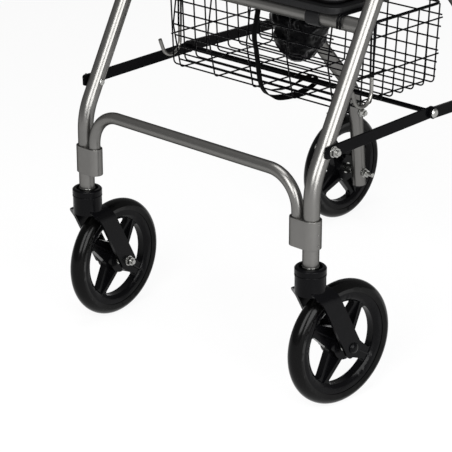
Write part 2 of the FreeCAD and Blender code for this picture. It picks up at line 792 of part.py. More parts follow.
def casters():
    """Forks, their caps and the wheel axles, left and right."""
    arm_outer = S.fork_arm_inner + S.fork_arm_thickness
    for name, side in SIDES:
        feature("fork_" + name, fork(), caster_placement(side))
        cap = lathe("caster_cap_" + name, (
            ("stem_shoulder_radius + seating_gap", "crown_top_height"),
            ("cap_radius", "crown_top_height"),
            ("cap_radius", "crown_top_height + cap_base_height"),
            ("cap_radius - cap_groove_depth", "crown_top_height + cap_base_height"),
            ("cap_radius - cap_groove_depth", "crown_top_height + cap_base_height + cap_groove_height"),
            ("cap_radius", "crown_top_height + cap_base_height + cap_groove_height"),
            ("cap_radius", "crown_top_height + cap_height - cap_shoulder"),
            ("cap_radius - cap_shoulder", "crown_top_height + cap_height"),
            ("cap_recess_radius", "crown_top_height + cap_height"),
            ("cap_recess_radius", "crown_top_height + cap_base_height"),
            ("stem_shoulder_radius + seating_gap", "crown_top_height + cap_base_height"),
        ))
        cap.Placement = caster_placement(side)
        cap.setExpression("Placement.Base.x", formula(times(side, "front_track_half")))
        publish(cap, "caster_cap_" + name)
        axle = V(0, S.caster_trail, S.wheel_radius)
        bolt = through_bolt(axle + X_AXIS * arm_outer, axle - X_AXIS * arm_outer,
                            S.dome_head_radius, S.dome_head_height)
        if side < 0:
            bolt = mirrored(bolt)
        feature("front_axle_" + name, Part.makeCompound([bolt] + axle_sleeves(axle)), caster_placement(side))
        rings = hub_bearings(axle)
        feature("front_hub_bearings_" + name, Part.makeCompound(rings), caster_placement(side))


def axle_sleeves(axle):
    """Two sleeves on a front axle that fill the room between the hub's bearings and the fork's arms."""
    start = S.hub_half_width - S.hub_bearing_inset + S.turning_clearance
    end = S.fork_arm_inner - S.turning_clearance
    sleeves = []
    for side in (-1, 1):
        sleeve = bar(S.axle_sleeve_radius, axle + X_AXIS * side * start, axle + X_AXIS * side * end)
        sleeves.append(sleeve.cut(cross_hole(axle)))
    return sleeves


def hub_bearings(centre):
    """Two ball bearings, one in each end of a hub."""
    rings = []
    for side in (-1, 1):
        outer_end = S.hub_half_width - S.hub_bearing_inset
        start = centre + X_AXIS * (side * (outer_end - S.hub_bearing_width / 2) - S.hub_bearing_width / 2)
        body = Part.makeCylinder(S.hub_bearing_radius, S.hub_bearing_width, start, X_AXIS)
        bore = Part.makeCylinder(S.axle_radius + S.turning_clearance / 2, S.hub_bearing_width, start, X_AXIS)
        rings.append(body.cut(bore))
    return rings


def turned_about_x(corners):
    """A solid turned about X from (X, radius) corners, straight between them."""
    points = [V(x, 0, radius) for x, radius in corners]
    return Part.Face(Part.makePolygon(points + points[:1])).revolve(V(), X_AXIS, 360)


def tyre():
    """Round-shouldered solid tyre about the X axis."""
    inner, shoulder = S.tyre_inner_radius, S.tyre_shoulder_radius
    base, half = S.tyre_base_half_width, S.tyre_half_width
    corners = [V(half, 0, shoulder), V(base, 0, inner), V(-base, 0, inner), V(-half, 0, shoulder)]
    edges = [Part.LineSegment(a, b).toShape() for a, b in zip(corners, corners[1:])]
    edges.append(Part.Arc(corners[-1], V(0, 0, S.wheel_radius), corners[0]).toShape())
    return Part.Face(Part.Wire(edges)).revolve(V(), X_AXIS, 360)


def spoke_opening():
    """One rounded opening between two spokes that narrow outwards, with its middle along +Y."""
    half_gap = math.pi / S.spoke_count
    edge = V(0, math.cos(half_gap), math.sin(half_gap))
    square = V(0, math.sin(half_gap), -math.cos(half_gap))
    radius = S.rim_inner_radius - S.turning_clearance
    narrowing = (S.spoke_root_half_width - S.spoke_end_half_width) / (radius - S.hub_radius)
    axis_offset = S.spoke_root_half_width + narrowing * S.hub_radius
    apex = V(0, axis_offset / (math.sin(half_gap) + narrowing * math.cos(half_gap)), 0)
    reach = math.sqrt(radius ** 2 - S.spoke_end_half_width ** 2)
    upper = edge * reach + square * S.spoke_end_half_width
    lower = V(0, upper.y, -upper.z)
    edges = [Part.LineSegment(apex, upper).toShape(),
             Part.Arc(upper, V(0, radius, 0), lower).toShape(),
             Part.LineSegment(lower, apex).toShape()]
    solid = Part.Face(Part.Wire(edges)).extrude(X_AXIS * 2 * S.rim_half_width)
    solid.translate(-X_AXIS * S.rim_half_width)
    return solid.makeFillet(S.opening_corner_radius,
                            [line for line in solid.Edges if line.BoundBox.XLength > S.rim_half_width
                             and line.BoundBox.YLength < S.turning_clearance])


def spoke_rib():
    """The thin rib along the middle of a spoke, from the hub's faces down to the rim's step."""
    ring = S.rim_step_radius - S.turning_clearance
    return Part.Face(Part.makePolygon([
        V(-S.hub_half_width, -S.spoke_rib_half_width, 0), V(S.hub_half_width, -S.spoke_rib_half_width, 0),
        V(S.hub_half_width, -S.spoke_rib_half_width, S.hub_radius),
        V(S.rim_step_half_width, -S.spoke_rib_half_width, ring),
        V(-S.rim_step_half_width, -S.spoke_rib_half_width, ring),
        V(-S.hub_half_width, -S.spoke_rib_half_width, S.hub_radius),
        V(-S.hub_half_width, -S.spoke_rib_half_width, 0)])).extrude(Y_AXIS * 2 * S.spoke_rib_half_width)


def rim():
    """Moulded wheel centre: hub, ribbed spokes and a stepped rim ring."""
    ring_corners = ((S.rim_half_width, S.tyre_inner_radius), (S.rim_half_width, S.rim_step_radius),
                    (S.rim_step_half_width, S.rim_inner_radius), (-S.rim_step_half_width, S.rim_inner_radius),
                    (-S.rim_half_width, S.rim_step_radius), (-S.rim_half_width, S.tyre_inner_radius))
    wheel = turned_about_x(ring_corners)
    web = Part.makeCylinder(S.rim_step_radius, 2 * S.web_half_width, V(-S.web_half_width, 0, 0), X_AXIS)
    openings = []
    ribs = []
    for i in range(int(S.spoke_count)):
        turn = 360 / S.spoke_count * i
        opening = spoke_opening()
        opening.rotate(V(), X_AXIS, turn + 180 / S.spoke_count + 90)
        openings.append(opening)
        rib = spoke_rib()
        rib.rotate(V(), X_AXIS, turn)
        ribs.append(rib)
    web = web.cut(openings)
    hub = Part.makeCylinder(S.hub_radius, 2 * S.hub_half_width, V(-S.hub_half_width, 0, 0), X_AXIS)
    wheel = wheel.fuse([web, hub] + ribs)
    bore = Part.makeCylinder(S.hub_bearing_radius + S.turning_clearance, 2 * S.hub_half_width,
                             V(-S.hub_half_width, 0, 0), X_AXIS)
    return wheel.cut(bore).removeSplitter()


def wheels():
    """Four equal wheels, each a moulded centre and a tyre, stopped as far round as in the picture."""
    turns = {"left": S.spoke_angle_left, "right": S.spoke_angle_right}
    for name, side in SIDES:
        centre = FreeCAD.Placement(V(0, S.caster_trail, S.wheel_radius), NO_TURN)
        front = caster_placement(side).multiply(centre)
        rear = FreeCAD.Placement(V(side * S.rear_track_half, REAR_AXLE_Y, S.wheel_radius), NO_TURN)
        for end, spot, angle in (("front", front, turns[name]), ("rear", rear, S.spoke_angle_rear)):
            turned = spot.multiply(FreeCAD.Placement(V(), FreeCAD.Rotation(X_AXIS, angle - 90)))
            feature("%s_rim_%s" % (end, name), rim(), turned)
            feature("%s_tyre_%s" % (end, name), tyre(), spot)


def rear_leg_path(x):
    """Up from the foot, round the bend and forward to the fold pivot."""
    pivot = on_leg(x, S.fold_pivot_height)
    vertex = rear_vertex(x)
    top = pivot + (pivot - vertex).normalize() * S.rear_leg_top_excess
    return bent_path((on_rear_leg(x, S.rear_leg_foot_height), vertex, top), (S.rear_leg_bend_radius,))


def brake_bolt_point(x):
    """Where the brake bracket is bolted to the rear leg."""
    return on_rear_leg(x, S.wheel_radius + S.brake_pin_rise)


def rear_legs():
    """Two bent steel tubes that swing about the fold pivot, each with a stud for the seat."""
    for name, side in SIDES:
        x = side * S.rear_leg_half
        tube = tube_along(rear_leg_path(x), S.frame_tube_radius, S.frame_tube_wall)
        holes = [cross_hole(point) for point in (on_rear_leg(x, S.fold_pivot_height),
                                                 on_rear_leg(x, S.strut_height),
                                                 on_rear_leg(x, S.wheel_radius), brake_bolt_point(x))]
        feature("rear_leg_" + name, tube.cut(holes).fuse(seat_stud(x)))


def rear_leg_plugs():
    """Plastic plugs in the feet of the rear legs."""
    x = S.rear_leg_half
    foot = on_rear_leg(x, S.rear_leg_foot_height)
    up = (rear_vertex(x) - foot).normalize()
    inside = S.frame_tube_radius - S.frame_tube_wall - S.turning_clearance
    plug = bar(inside, foot, foot + up * S.plug_depth)
    plug = plug.fuse(bar(S.frame_tube_radius, foot - up * S.plug_flange, foot)).removeSplitter()
    feature("rear_leg_plugs", Part.makeCompound([plug, mirrored(plug)]))


def rear_frame_bolts():
    """Rear axles, the bolts of the struts' rear ends and the brake brackets' bolts."""
    leg_inner = X_AXIS * (S.rear_leg_half - S.frame_tube_radius)
    axle = on_rear_leg(0, S.wheel_radius)
    head = axle + X_AXIS * (S.rear_track_half + S.hub_half_width + S.turning_clearance)
    axle_bolt = through_bolt(head, axle + leg_inner, S.dome_head_radius, S.dome_head_height)
    axle_end = bar(S.axle_radius, axle + leg_inner - X_AXIS * S.rear_axle_tail, axle + leg_inner)
    strut = on_rear_leg(0, S.strut_height)
    strut_outer = strut + X_AXIS * (REAR_STRUT_OUTER + S.turning_clearance)
    strut_bolt = through_bolt(strut + leg_inner, strut_outer, S.rivet_head_radius, S.rivet_head_height)
    brake = brake_bolt_point(0)
    bracket_outer = brake + X_AXIS * (REAR_LEG_FACE + S.brake_bracket_thickness)
    brake_bolt = through_bolt(bracket_outer, brake + leg_inner, S.dome_head_radius, S.dome_head_height)
    right = [axle_bolt.fuse(axle_end), strut_bolt, brake_bolt]
    feature("rear_frame_bolts", Part.makeCompound(right + [mirrored(bolt) for bolt in right]))


def rear_spacers():
    """Sleeves on the rear axles and on the struts' rear bolts, outboard of the legs."""
    axle_spacer = ring("axle_spacer", "axle_sleeve_radius", "axle_radius + turning_clearance",
                       "rear_track_half - hub_half_width - rear_leg_half - frame_tube_radius"
                       " - turning_clearance",
                       ("rear_leg_half + frame_tube_radius", REAR_AXLE_Y_FORMULA, "wheel_radius"), Z_TO_X)
    pivot_y = STEM_Y_FORMULA + " + (fold_pivot_height - leg_bend_height) * tan(leg_lean)"
    vertex_y = (REAR_AXLE_Y_FORMULA + " - (rear_leg_vertex_height - wheel_radius) * tan(rear_leg_low_lean)")
    share = "(strut_height - rear_leg_vertex_height) / (fold_pivot_height - rear_leg_vertex_height)"
    strut_y = "%s + (%s - (%s)) * (%s)" % (vertex_y, pivot_y, vertex_y, share)
    strut_spacer = ring("strut_spacer", "strut_spacer_radius", "axle_radius + turning_clearance",
                        REAR_STRUT_INNER_FORMULA + " - rear_leg_half - frame_tube_radius - turning_clearance",
                        ("rear_leg_half + frame_tube_radius", strut_y, "strut_height"), Z_TO_X)
    pair("rear_spacers", group("rear_spacer_set", [axle_spacer, strut_spacer]))


def rear_hub_bearings():
    """Two ball bearings in each rear wheel, on the axle."""
    rings = hub_bearings(V(S.rear_track_half, REAR_AXLE_Y, S.wheel_radius))
    feature("rear_hub_bearings", Part.makeCompound(rings + [mirrored(item) for item in rings]))


def seat_stud(x):
    """A short stud welded inside a rear leg, on which the seat board rests."""
    height = S.seat_tube_height + S.seat_tube_radius + S.seat_board_gap - S.seat_stud_radius - S.seating_gap
    axis = on_rear_leg(x, height)
    inward = X_AXIS * (-1 if x > 0 else 1)
    stud = bar(S.seat_stud_radius, axis + inward * (S.frame_tube_radius / 2),
               axis + inward * (S.frame_tube_radius + S.seat_stud_length))
    return stud.cut(rod_along(rear_leg_path(x), S.frame_tube_radius - S.frame_tube_wall / 2))


def brake_pin_point(x):
    """The pivot of a brake shoe, behind the leg and above the tyre."""
    return V(x, REAR_AXLE_Y + S.brake_pin_from_axle, S.wheel_radius + S.brake_pin_rise)


def brakes():
    """A bracket beside each rear leg with a pin, and a shoe that swings down onto the tyre."""
    pin = brake_pin_point(0)
    bolt = brake_bolt_point(0)
    brackets = []
    plate = bar(S.dome_head_radius + S.frame_tube_wall, bolt + X_AXIS * REAR_LEG_FACE,
                bolt + X_AXIS * (REAR_LEG_FACE + S.brake_bracket_thickness))
    barrel = bar(S.brake_barrel_radius, pin + X_AXIS * REAR_LEG_FACE,
                 pin + X_AXIS * (REAR_LEG_FACE + S.brake_bracket_thickness))
    link = Part.makeBox(S.brake_bracket_thickness, pin.y - bolt.y, 2 * S.brake_barrel_radius,
                        V(REAR_LEG_FACE, bolt.y, bolt.z - S.brake_barrel_radius))
    shoe_outer = S.rear_track_half + S.brake_shoe_half_width
    pivot_pin = bar(S.brake_pin_radius, pin + X_AXIS * REAR_LEG_FACE,
                    pin + X_AXIS * (shoe_outer + S.washer_thickness))
    clip = Part.makeCylinder(S.brake_pin_radius + S.washer_thickness, S.washer_thickness,
                             pin + X_AXIS * (shoe_outer + S.seating_gap), X_AXIS)
    hole = cross_hole(bolt + X_AXIS * REAR_LEG_FACE)
    bracket = plate.fuse((barrel, link)).removeSplitter().cut(hole).fuse((pivot_pin, clip))
    brackets = [bracket, mirrored(bracket)]
    feature("brake_brackets", Part.makeCompound(brackets))

    shoe_inner = REAR_LEG_FACE + S.brake_bracket_thickness + S.dome_head_height + S.seating_gap
    width = shoe_outer - shoe_inner
    axle = V(shoe_inner, REAR_AXLE_Y, S.wheel_radius)
    face_radius = S.wheel_radius + S.brake_gap
    back_radius = face_radius + S.brake_pad_thickness
    pad_angle = S.brake_pad_length / face_radius
    start_angle = math.radians(180 - S.brake_pad_rear_angle) - pad_angle

    def rounded(radius, share):
        angle = math.radians(180) - start_angle - pad_angle * share
        return axle + V(0, radius * math.cos(angle), radius * math.sin(angle))

    face = [rounded(face_radius, share) for share in (0, 0.5, 1)]
    back = [rounded(back_radius, share) for share in (1, 0.5, 0)]
    pad_edges = [Part.Arc(*face).toShape(), Part.LineSegment(face[-1], back[0]).toShape(),
                 Part.Arc(*back).toShape(), Part.LineSegment(back[-1], face[0]).toShape()]
    pad = Part.Face(Part.Wire(pad_edges)).extrude(X_AXIS * width)
    pivot = V(shoe_inner, pin.y, pin.z)
    shoe_barrel = Part.makeCylinder(S.brake_barrel_radius, width, pivot, X_AXIS)
    arm_start = rounded((face_radius + back_radius) / 2, BRAKE_ARM_SHARE)
    arm_line = pivot - arm_start
    arm_across = V(0, -arm_line.z, arm_line.y).normalize() * (S.brake_pad_thickness / 2 - S.seating_gap)
    arm = Part.Face(Part.makePolygon([arm_start - arm_across, arm_start + arm_across, pivot + arm_across,
                                      pivot - arm_across, arm_start - arm_across])).extrude(X_AXIS * width)
    shoe = pad.fuse((shoe_barrel, arm)).removeSplitter()
    shoe = shoe.cut(Part.makeCylinder(S.brake_pin_radius + S.turning_clearance, width, pivot, X_AXIS))
    for name, side in SIDES:
        feature("brake_shoe_" + name, shoe if side > 0 else mirrored(shoe))


# Where the shoe's arm meets the pad, as a share of the pad's length from its rear end.
BRAKE_ARM_SHARE = 0.35


def strut_half(inner, start, end):
    """A flat bar with a square end at its leg and a round lobe at the knee, drilled at both."""
    along = V(end - start).normalize()
    across = V(0, -along.z, along.y) * (S.strut_bar_height / 2)
    thickness = X_AXIS * S.strut_thickness
    offset = X_AXIS * inner
    leg_end = start - along * S.strut_end_overhang
    corners = [leg_end - across, end - across, end + across, leg_end + across, leg_end - across]
    body = Part.Face(Part.makePolygon([corner + offset for corner in corners])).extrude(thickness)
    edges = [edge for edge in body.Edges if edge.BoundBox.XLength > S.strut_thickness / 2]
    edges.sort(key=lambda edge: edge.CenterOfMass.distanceToPoint(leg_end + offset))
    body = body.makeFillet(S.strut_end_corner_radius, edges[:2])
    lobe = bar(S.knee_lobe_radius, end + offset, end + offset + thickness)
    holes = [bar(BOLT_HOLE_RADIUS, centre + offset - thickness, centre + offset + thickness * 2)
             for centre in (start, end)]
    return body.fuse(lobe).removeSplitter().cut(holes)


def struts():
    """Folding side struts: a front and a rear half on each side, with a knee between them."""
    front = strut_half(STRUT_INNER, on_leg(0, S.strut_height), KNEE)
    rear = strut_half(REAR_STRUT_INNER, on_rear_leg(0, S.strut_height), KNEE)
    feature("front_struts", Part.makeCompound([front, mirrored(front)]))
    feature("rear_struts", Part.makeCompound([rear, mirrored(rear)]))


def cross_rod():
    """The round bar that joins the two knees."""
    rod = cylinder("cross_rod", "cross_rod_radius",
                   "2 * (" + STRUT_INNER_FORMULA + " + strut_thickness)",
                   ("-(" + STRUT_INNER_FORMULA + " + strut_thickness)", KNEE_Y_FORMULA, KNEE_Z_FORMULA),
                   Z_TO_X)
    publish(rod, "cross_rod")


def knee_caps():
    """Domed rivets that close the knees on the outside."""
    cap = lathe("knee_cap", (
        ("0", "0"),
        ("axle_radius", "0"),
        ("axle_radius", "strut_thickness + turning_clearance"),
        ("knee_cap_radius", "strut_thickness + turning_clearance"),
        ("knee_cap_radius", "strut_thickness + turning_clearance + knee_cap_height / 2"),
        ("knee_cap_radius * 2 / 3", "strut_thickness + turning_clearance + knee_cap_height"),
        ("0", "strut_thickness + turning_clearance + knee_cap_height"),
    ))
    place(cap, (REAR_STRUT_INNER_FORMULA, KNEE_Y_FORMULA, KNEE_Z_FORMULA), Z_TO_X)
    pair("knee_caps", cap)


def seat_board():
    """Flat board under the seat cushion."""
    body = doc.addObject("PartDesign::Body", "seat_board")
    sketch = outline(body, "XY_Plane", (
        ("-seat_half_width", "-seat_front_overhang"),
        ("seat_half_width", "-seat_front_overhang"),
        ("seat_half_width", "seat_depth - seat_front_overhang"),
        ("-seat_half_width", "seat_depth - seat_front_overhang"),
    ))
    pad = body.newObject("PartDesign::Pad", "seat_board_slab")
    pad.Profile = sketch
    pad.setExpression("Length", formula("seat_board_thickness"))
    doc.recompute()
    corners = ["Edge%d" % (i + 1) for i, edge in enumerate(pad.Shape.Edges)
               if edge.BoundBox.ZLength > S.seat_board_thickness / 2]
    rounding = body.newObject("PartDesign::Fillet", "seat_board_corners")
    rounding.Base = (pad, corners)
    rounding.setExpression("Radius", formula("seat_corner_radius"))
    body.Tip = rounding
    place(body, ("0", SEAT_TUBE_Y_FORMULA, "seat_tube_height + seat_tube_radius + seat_board_gap"))
    publish(body, "seat_board")


def rounded_rectangle(half_x, low_y, high_y, z, radius):
    """A closed wire of four sides and four corner arcs."""
    slant = radius * (1 - math.sqrt(0.5))
    edges = []
    start = V(-half_x + radius, low_y, z)
    for corner_end, middle, side_end in (
            ((half_x - radius, low_y), (half_x - slant, low_y + slant), (half_x, low_y + radius)),
            ((half_x, high_y - radius), (half_x - slant, high_y - slant), (half_x - radius, high_y)),
            ((-half_x + radius, high_y), (-half_x + slant, high_y - slant), (-half_x, high_y - radius)),
            ((-half_x, low_y + radius), (-half_x + slant, low_y + slant), (-half_x + radius, low_y))):
        line_end = V(corner_end[0], corner_end[1], z)
        arc_end = V(side_end[0], side_end[1], z)
        edges.append(Part.LineSegment(start, line_end).toShape())
        edges.append(Part.Arc(line_end, V(middle[0], middle[1], z), arc_end).toShape())
        start = arc_end
    return Part.Wire(edges)


def seat_cushion():
    """Padded seat: drawn in at its seam, full at the sides, and crowned up to a flat middle."""
    front = on_leg(0, S.seat_tube_height).y - S.seat_front_overhang
    bottom = (S.seat_tube_height + S.seat_tube_radius + S.seat_board_gap + S.seat_board_thickness
              + S.turning_clearance)
    sections = []
    for height_share, inset_share in CUSHION_SHARES:
        inset = S.cushion_inset + S.cushion_roll * inset_share
        height = bottom + S.cushion_thickness * height_share
        sections.append(rounded_rectangle(S.seat_half_width - inset, front + inset,
                                          front + S.seat_depth - inset, height, S.seat_corner_radius))
    feature("seat_cushion", Part.makeLoft(sections, True, True))


# Height and inset of each cushion section, as shares of the thickness and of the roll.
CUSHION_SHARES = ((0.0, 0.3), (0.1, 0.08), (0.28, 0.0), (0.48, 0.04), (0.64, 0.25), (0.77, 0.65),
                  (0.87, 1.3), (0.94, 2.3), (1.0, 4.2))


def seat_hinge_clips():
    """Plastic clips under the board that turn on the seat tube."""
    inner = "seat_tube_radius + turning_clearance"
    outer = "seat_tube_radius + turning_clearance + hinge_clip_wall"
    start = "hinge_clip_offset - hinge_clip_width / 2"
    band = cylinder("hinge_clip_band", outer, "hinge_clip_width",
                    (start, SEAT_TUBE_Y_FORMULA, "seat_tube_height"), Z_TO_X)
    foot = primitive("Box", "hinge_clip_foot",
                     (start, SEAT_TUBE_Y_FORMULA, "seat_tube_height"),
                     Length="hinge_clip_width", Width="seat_tube_radius + 2 * hinge_clip_wall",
                     Height="seat_tube_radius + seat_board_gap")
    lid = primitive("Box", "hinge_clip_lid",
                    (start, SEAT_TUBE_Y_FORMULA + " - seat_tube_radius", "seat_tube_height + seat_tube_radius"
                     " + seat_board_gap"),
                    Length="hinge_clip_width", Width="2 * seat_tube_radius", Height="2 * hinge_clip_wall")
    whole = fuse("hinge_clip_block", [band, foot])
    open_clip = cut("hinge_clip_trimmed", whole, lid)
    bore = cylinder("hinge_clip_bore", inner, "hinge_clip_width",
                    (start, SEAT_TUBE_Y_FORMULA, "seat_tube_height"), Z_TO_X)
    pair("seat_hinge_clips", cut("hinge_clip", open_clip, bore))


def basket_points():
    """Share, half width, front Y and rear Y at the basket's floor, its front bend and its rim."""
    slope = math.tan(math.radians(S.basket_flare))
    front = STEM_Y + S.basket_front_from_stem
    rear = front + S.basket_length
    places = []
    for share, lead in ((0, 0), (FRONT_BEND_SHARE, S.basket_bend_lead), (1, S.basket_rim_lead)):
        flare = S.basket_wall_height * share * slope
        places.append((share, S.basket_half_width + flare, front - lead, rear + flare))
    return places


def even_shares(count):
    """Shares of a length at equal steps."""
    return [row / count for row in range(count + 1)]


def wire_mesh(rows, columns, levels, wire, edge_halves=(2, 2)):
    """A flat welded mesh between rows of a share of the height, a left point and a right point.

    Edge halves are the numbers of half wires along the lower and the upper edge.
    """

    def spot(across, up):
        below = [pair for pair in zip(rows, rows[1:]) if pair[0][0] <= up]
        (low_share, low_left, low_right), (high_share, high_left, high_right) = below[-1]
        part = (up - low_share) / (high_share - low_share)
        left = low_left + (high_left - low_left) * part
        right = low_right + (high_right - low_right) * part
        return left + (right - left) * across

    (_, bottom_left, bottom_right), (_, top_left, top_right) = rows[0], rows[-1]
    height = ((top_left - bottom_left).Length + (top_right - bottom_right).Length) / 2
    half_across = wire / 2 / (bottom_right - bottom_left).Length
    half_up = wire / 2 / height
    low_halves, high_halves = edge_halves
    outline = [left for _, left, _ in rows] + [right for _, _, right in reversed(rows)]
    wires = [Part.makePolygon(outline + outline[:1])]
    for column, next_column in zip(columns, columns[1:]):
        left = column + half_across * (1 if column > 0 else 2)
        right = next_column - half_across * (1 if next_column < 1 else 2)
        for level, next_level in zip(levels, levels[1:]):
            low = level + half_up * (1 if level > 0 else low_halves)
            high = next_level - half_up * (1 if next_level < 1 else high_halves)
            quad = [spot(left, low), spot(right, low), spot(right, high), spot(left, high), spot(left, low)]
            wires.append(Part.makePolygon(quad))
    sheet_face = Part.Face(wires, "Part::FaceMakerBullseye")
    normal = (bottom_right - bottom_left).cross(top_left - bottom_left).normalize()
    solid = sheet_face.extrude(normal * wire)
    solid.translate(-normal * wire / 2)
    return solid


# Heights of the level wires in the side and end walls as shares of the wall's height.
SIDE_WALL_SHARES = (0.0, 0.381, 0.84, 1.0)
END_WALL_SHARES = (0.0, 0.08, 0.17, 0.266, 0.417, 0.569, 0.72, 0.87, 1.0)
# Height of the bend in the front wall, which is also one of the level wires there.
FRONT_BEND_SHARE = 0.569
# Places of the lengthwise wires as shares of the floor's width.
RUNNER_SHARES = (0.0, 0.048, 0.254, 0.478, 0.703, 0.928, 1.0)


def basket_front(places, inset):
    """The front wall: two flat meshes that meet along a level wire."""
    wire = S.basket_wire
    rows = []
    for share, half, front, _ in places:
        height = S.basket_floor_height + S.basket_wall_height * share
        rows.append((V(inset - half, front, height), V(half - inset, front, height)))
    lower_levels = [share / FRONT_BEND_SHARE for share in END_WALL_SHARES if share <= FRONT_BEND_SHARE]
    upper_levels = [(share - FRONT_BEND_SHARE) / (1 - FRONT_BEND_SHARE)
                    for share in END_WALL_SHARES if share >= FRONT_BEND_SHARE]
    lower = wire_mesh(((0, *rows[0]), (1, *rows[1])), RUNNER_SHARES, lower_levels, wire, (2, 1))
    upper = wire_mesh(((0, *rows[1]), (1, *rows[2])), RUNNER_SHARES, upper_levels, wire, (1, 2))
    end = X_AXIS * S.turning_clearance * 2
    left, right = rows[1]
    return lower.fuse((upper, bar(S.basket_bend_radius, left + end, right - end))).removeSplitter()


def basket():
    """Wire basket: floor, ends and sides of welded mesh under a heavier rim with two hangers."""
    places = basket_points()
    _, half_low, front_low, rear_low = places[0]
    _, half_high, front_high, rear_high = places[-1]
    low = S.basket_floor_height
    wire = S.basket_wire
    inset = wire / 2 + S.turning_clearance
    lanes = even_shares(int(S.basket_wire_count))
    floor_half = half_low - inset
    floor_rows = ((0, V(-floor_half, front_low + inset, low), V(floor_half, front_low + inset, low)),
                  (1, V(-floor_half, rear_low - inset, low), V(floor_half, rear_low - inset, low)))
    floor = wire_mesh(floor_rows, RUNNER_SHARES, lanes, wire)
    runners = []
    for share in RUNNER_SHARES[1:-1]:
        x = floor_half * (2 * share - 1)
        z = low - wire / 2 - S.basket_runner_radius + S.turning_clearance
        runners.append(bar(S.basket_runner_radius, V(x, front_low + inset, z), V(x, rear_low - inset, z)))
    feature("basket_floor", floor.fuse(runners))

    rear_rows = []
    side_rows = {name: [] for name, _ in SIDES}
    for share, half, front, rear in places:
        height = low + S.basket_wall_height * share
        rear_rows.append((share, V(inset - half, rear, height), V(half - inset, rear, height)))
        for name, side in SIDES:
            x = side * half
            side_rows[name].append((share, V(x, front - inset, height), V(x, rear + inset, height)))
    ends = [basket_front(places, inset), wire_mesh(rear_rows, RUNNER_SHARES, END_WALL_SHARES, wire)]
    feature("basket_ends", Part.makeCompound(ends))
    sides = [wire_mesh(rows, lanes, SIDE_WALL_SHARES, wire) for rows in side_rows.values()]
    feature("basket_sides", Part.makeCompound(sides))

    rim_height = S.basket_rim_height
    loop = rounded_rectangle(half_high, front_high, rear_high, rim_height, S.rim_corner_radius)
    rim_wire = rod_along(loop, S.rim_wire_radius)
    hanger_y = STEM_Y + S.hanger_from_stem
    tube = on_leg(0, S.seat_tube_height)
    reach = S.seat_tube_radius + S.hanger_wire_radius + S.seating_gap
    pieces = []
    for name, side in SIDES:
        x = side * S.hanger_half_width
        lip = V(x, tube.y - reach, tube.z + reach)
        points = (V(x, hanger_y, S.hanger_bottom_height), V(x, hanger_y, tube.z + reach),
                  lip, lip - Z_AXIS * S.hanger_lip_length)
        pieces.append(rod_along(bent_path(points, (S.hanger_bend_radius, S.hanger_bend_radius)),
                                S.hanger_wire_radius))
        on_rim = V(side * half_high, hanger_y, rim_height)
        pieces.append(bar(S.hanger_wire_radius, on_rim, V(x, hanger_y, rim_height)))
    feature("basket_frame", rim_wire.fuse(pieces))


def carry_hooks():
    """Plated hooks on the lower ends of the hangers, open towards the front."""
    hooks = []
    bottom = S.hook_bottom_height
    y = STEM_Y + S.hanger_from_stem
    turn = math.radians(S.hook_tip_turn)
    for name, side in SIDES:
        x = side * S.hanger_half_width
        centre = V(x, y - S.hook_bend_radius, bottom + S.hook_bend_radius)

        def round_bend(angle):
            return centre + V(0, S.hook_bend_radius * math.cos(angle), -S.hook_bend_radius * math.sin(angle))

        tip_start = round_bend(turn)
        tip = tip_start + V(0, -math.sin(turn), -math.cos(turn)) * S.hook_tip_length
        edges = [Part.LineSegment(V(x, y, S.hanger_bottom_height), round_bend(0)).toShape(),
                 Part.Arc(round_bend(0), round_bend(turn / 2), tip_start).toShape(),
                 Part.LineSegment(tip_start, tip).toShape()]
        hooks.append(rod_along(Part.Wire(edges), S.hook_radius))
    feature("carry_hooks", Part.makeCompound(hooks))


def shopping_bag():
    """A small soft pouch standing on the basket floor."""
    bottom = S.basket_floor_height + S.basket_wire / 2 + S.seating_gap
    y = STEM_Y + S.bag_from_stem
    sections = []
    for height_share, width_share, depth_share, lean_share in BAG_SHARES:
        half = S.bag_width / 2 * width_share
        deep = S.bag_depth / 2 * depth_share
        shift = S.bag_depth * lean_share
        loop = rounded_rectangle(half, y + shift - deep, y + shift + deep,
                                 bottom + S.bag_height * height_share, deep * BAG_CORNER_SHARE)
        loop.translate(X_AXIS * S.bag_offset)
        sections.append(loop)
    feature("shopping_bag", Part.makeLoft(sections, True, False))


# Height, width, depth and lean of each bag section, as shares of the bag's sizes.
BAG_SHARES = ((0.0, 0.4, 0.6, 0.0), (0.08, 0.55, 0.82, 0.0), (0.3, 0.8, 1.0, 0.02), (0.6, 1.0, 0.95, 0.03),
              (0.82, 0.92, 0.7, 0.0), (0.95, 0.7, 0.4, -0.04), (1.0, 0.55, 0.25, -0.05))
BAG_CORNER_SHARE = 0.6


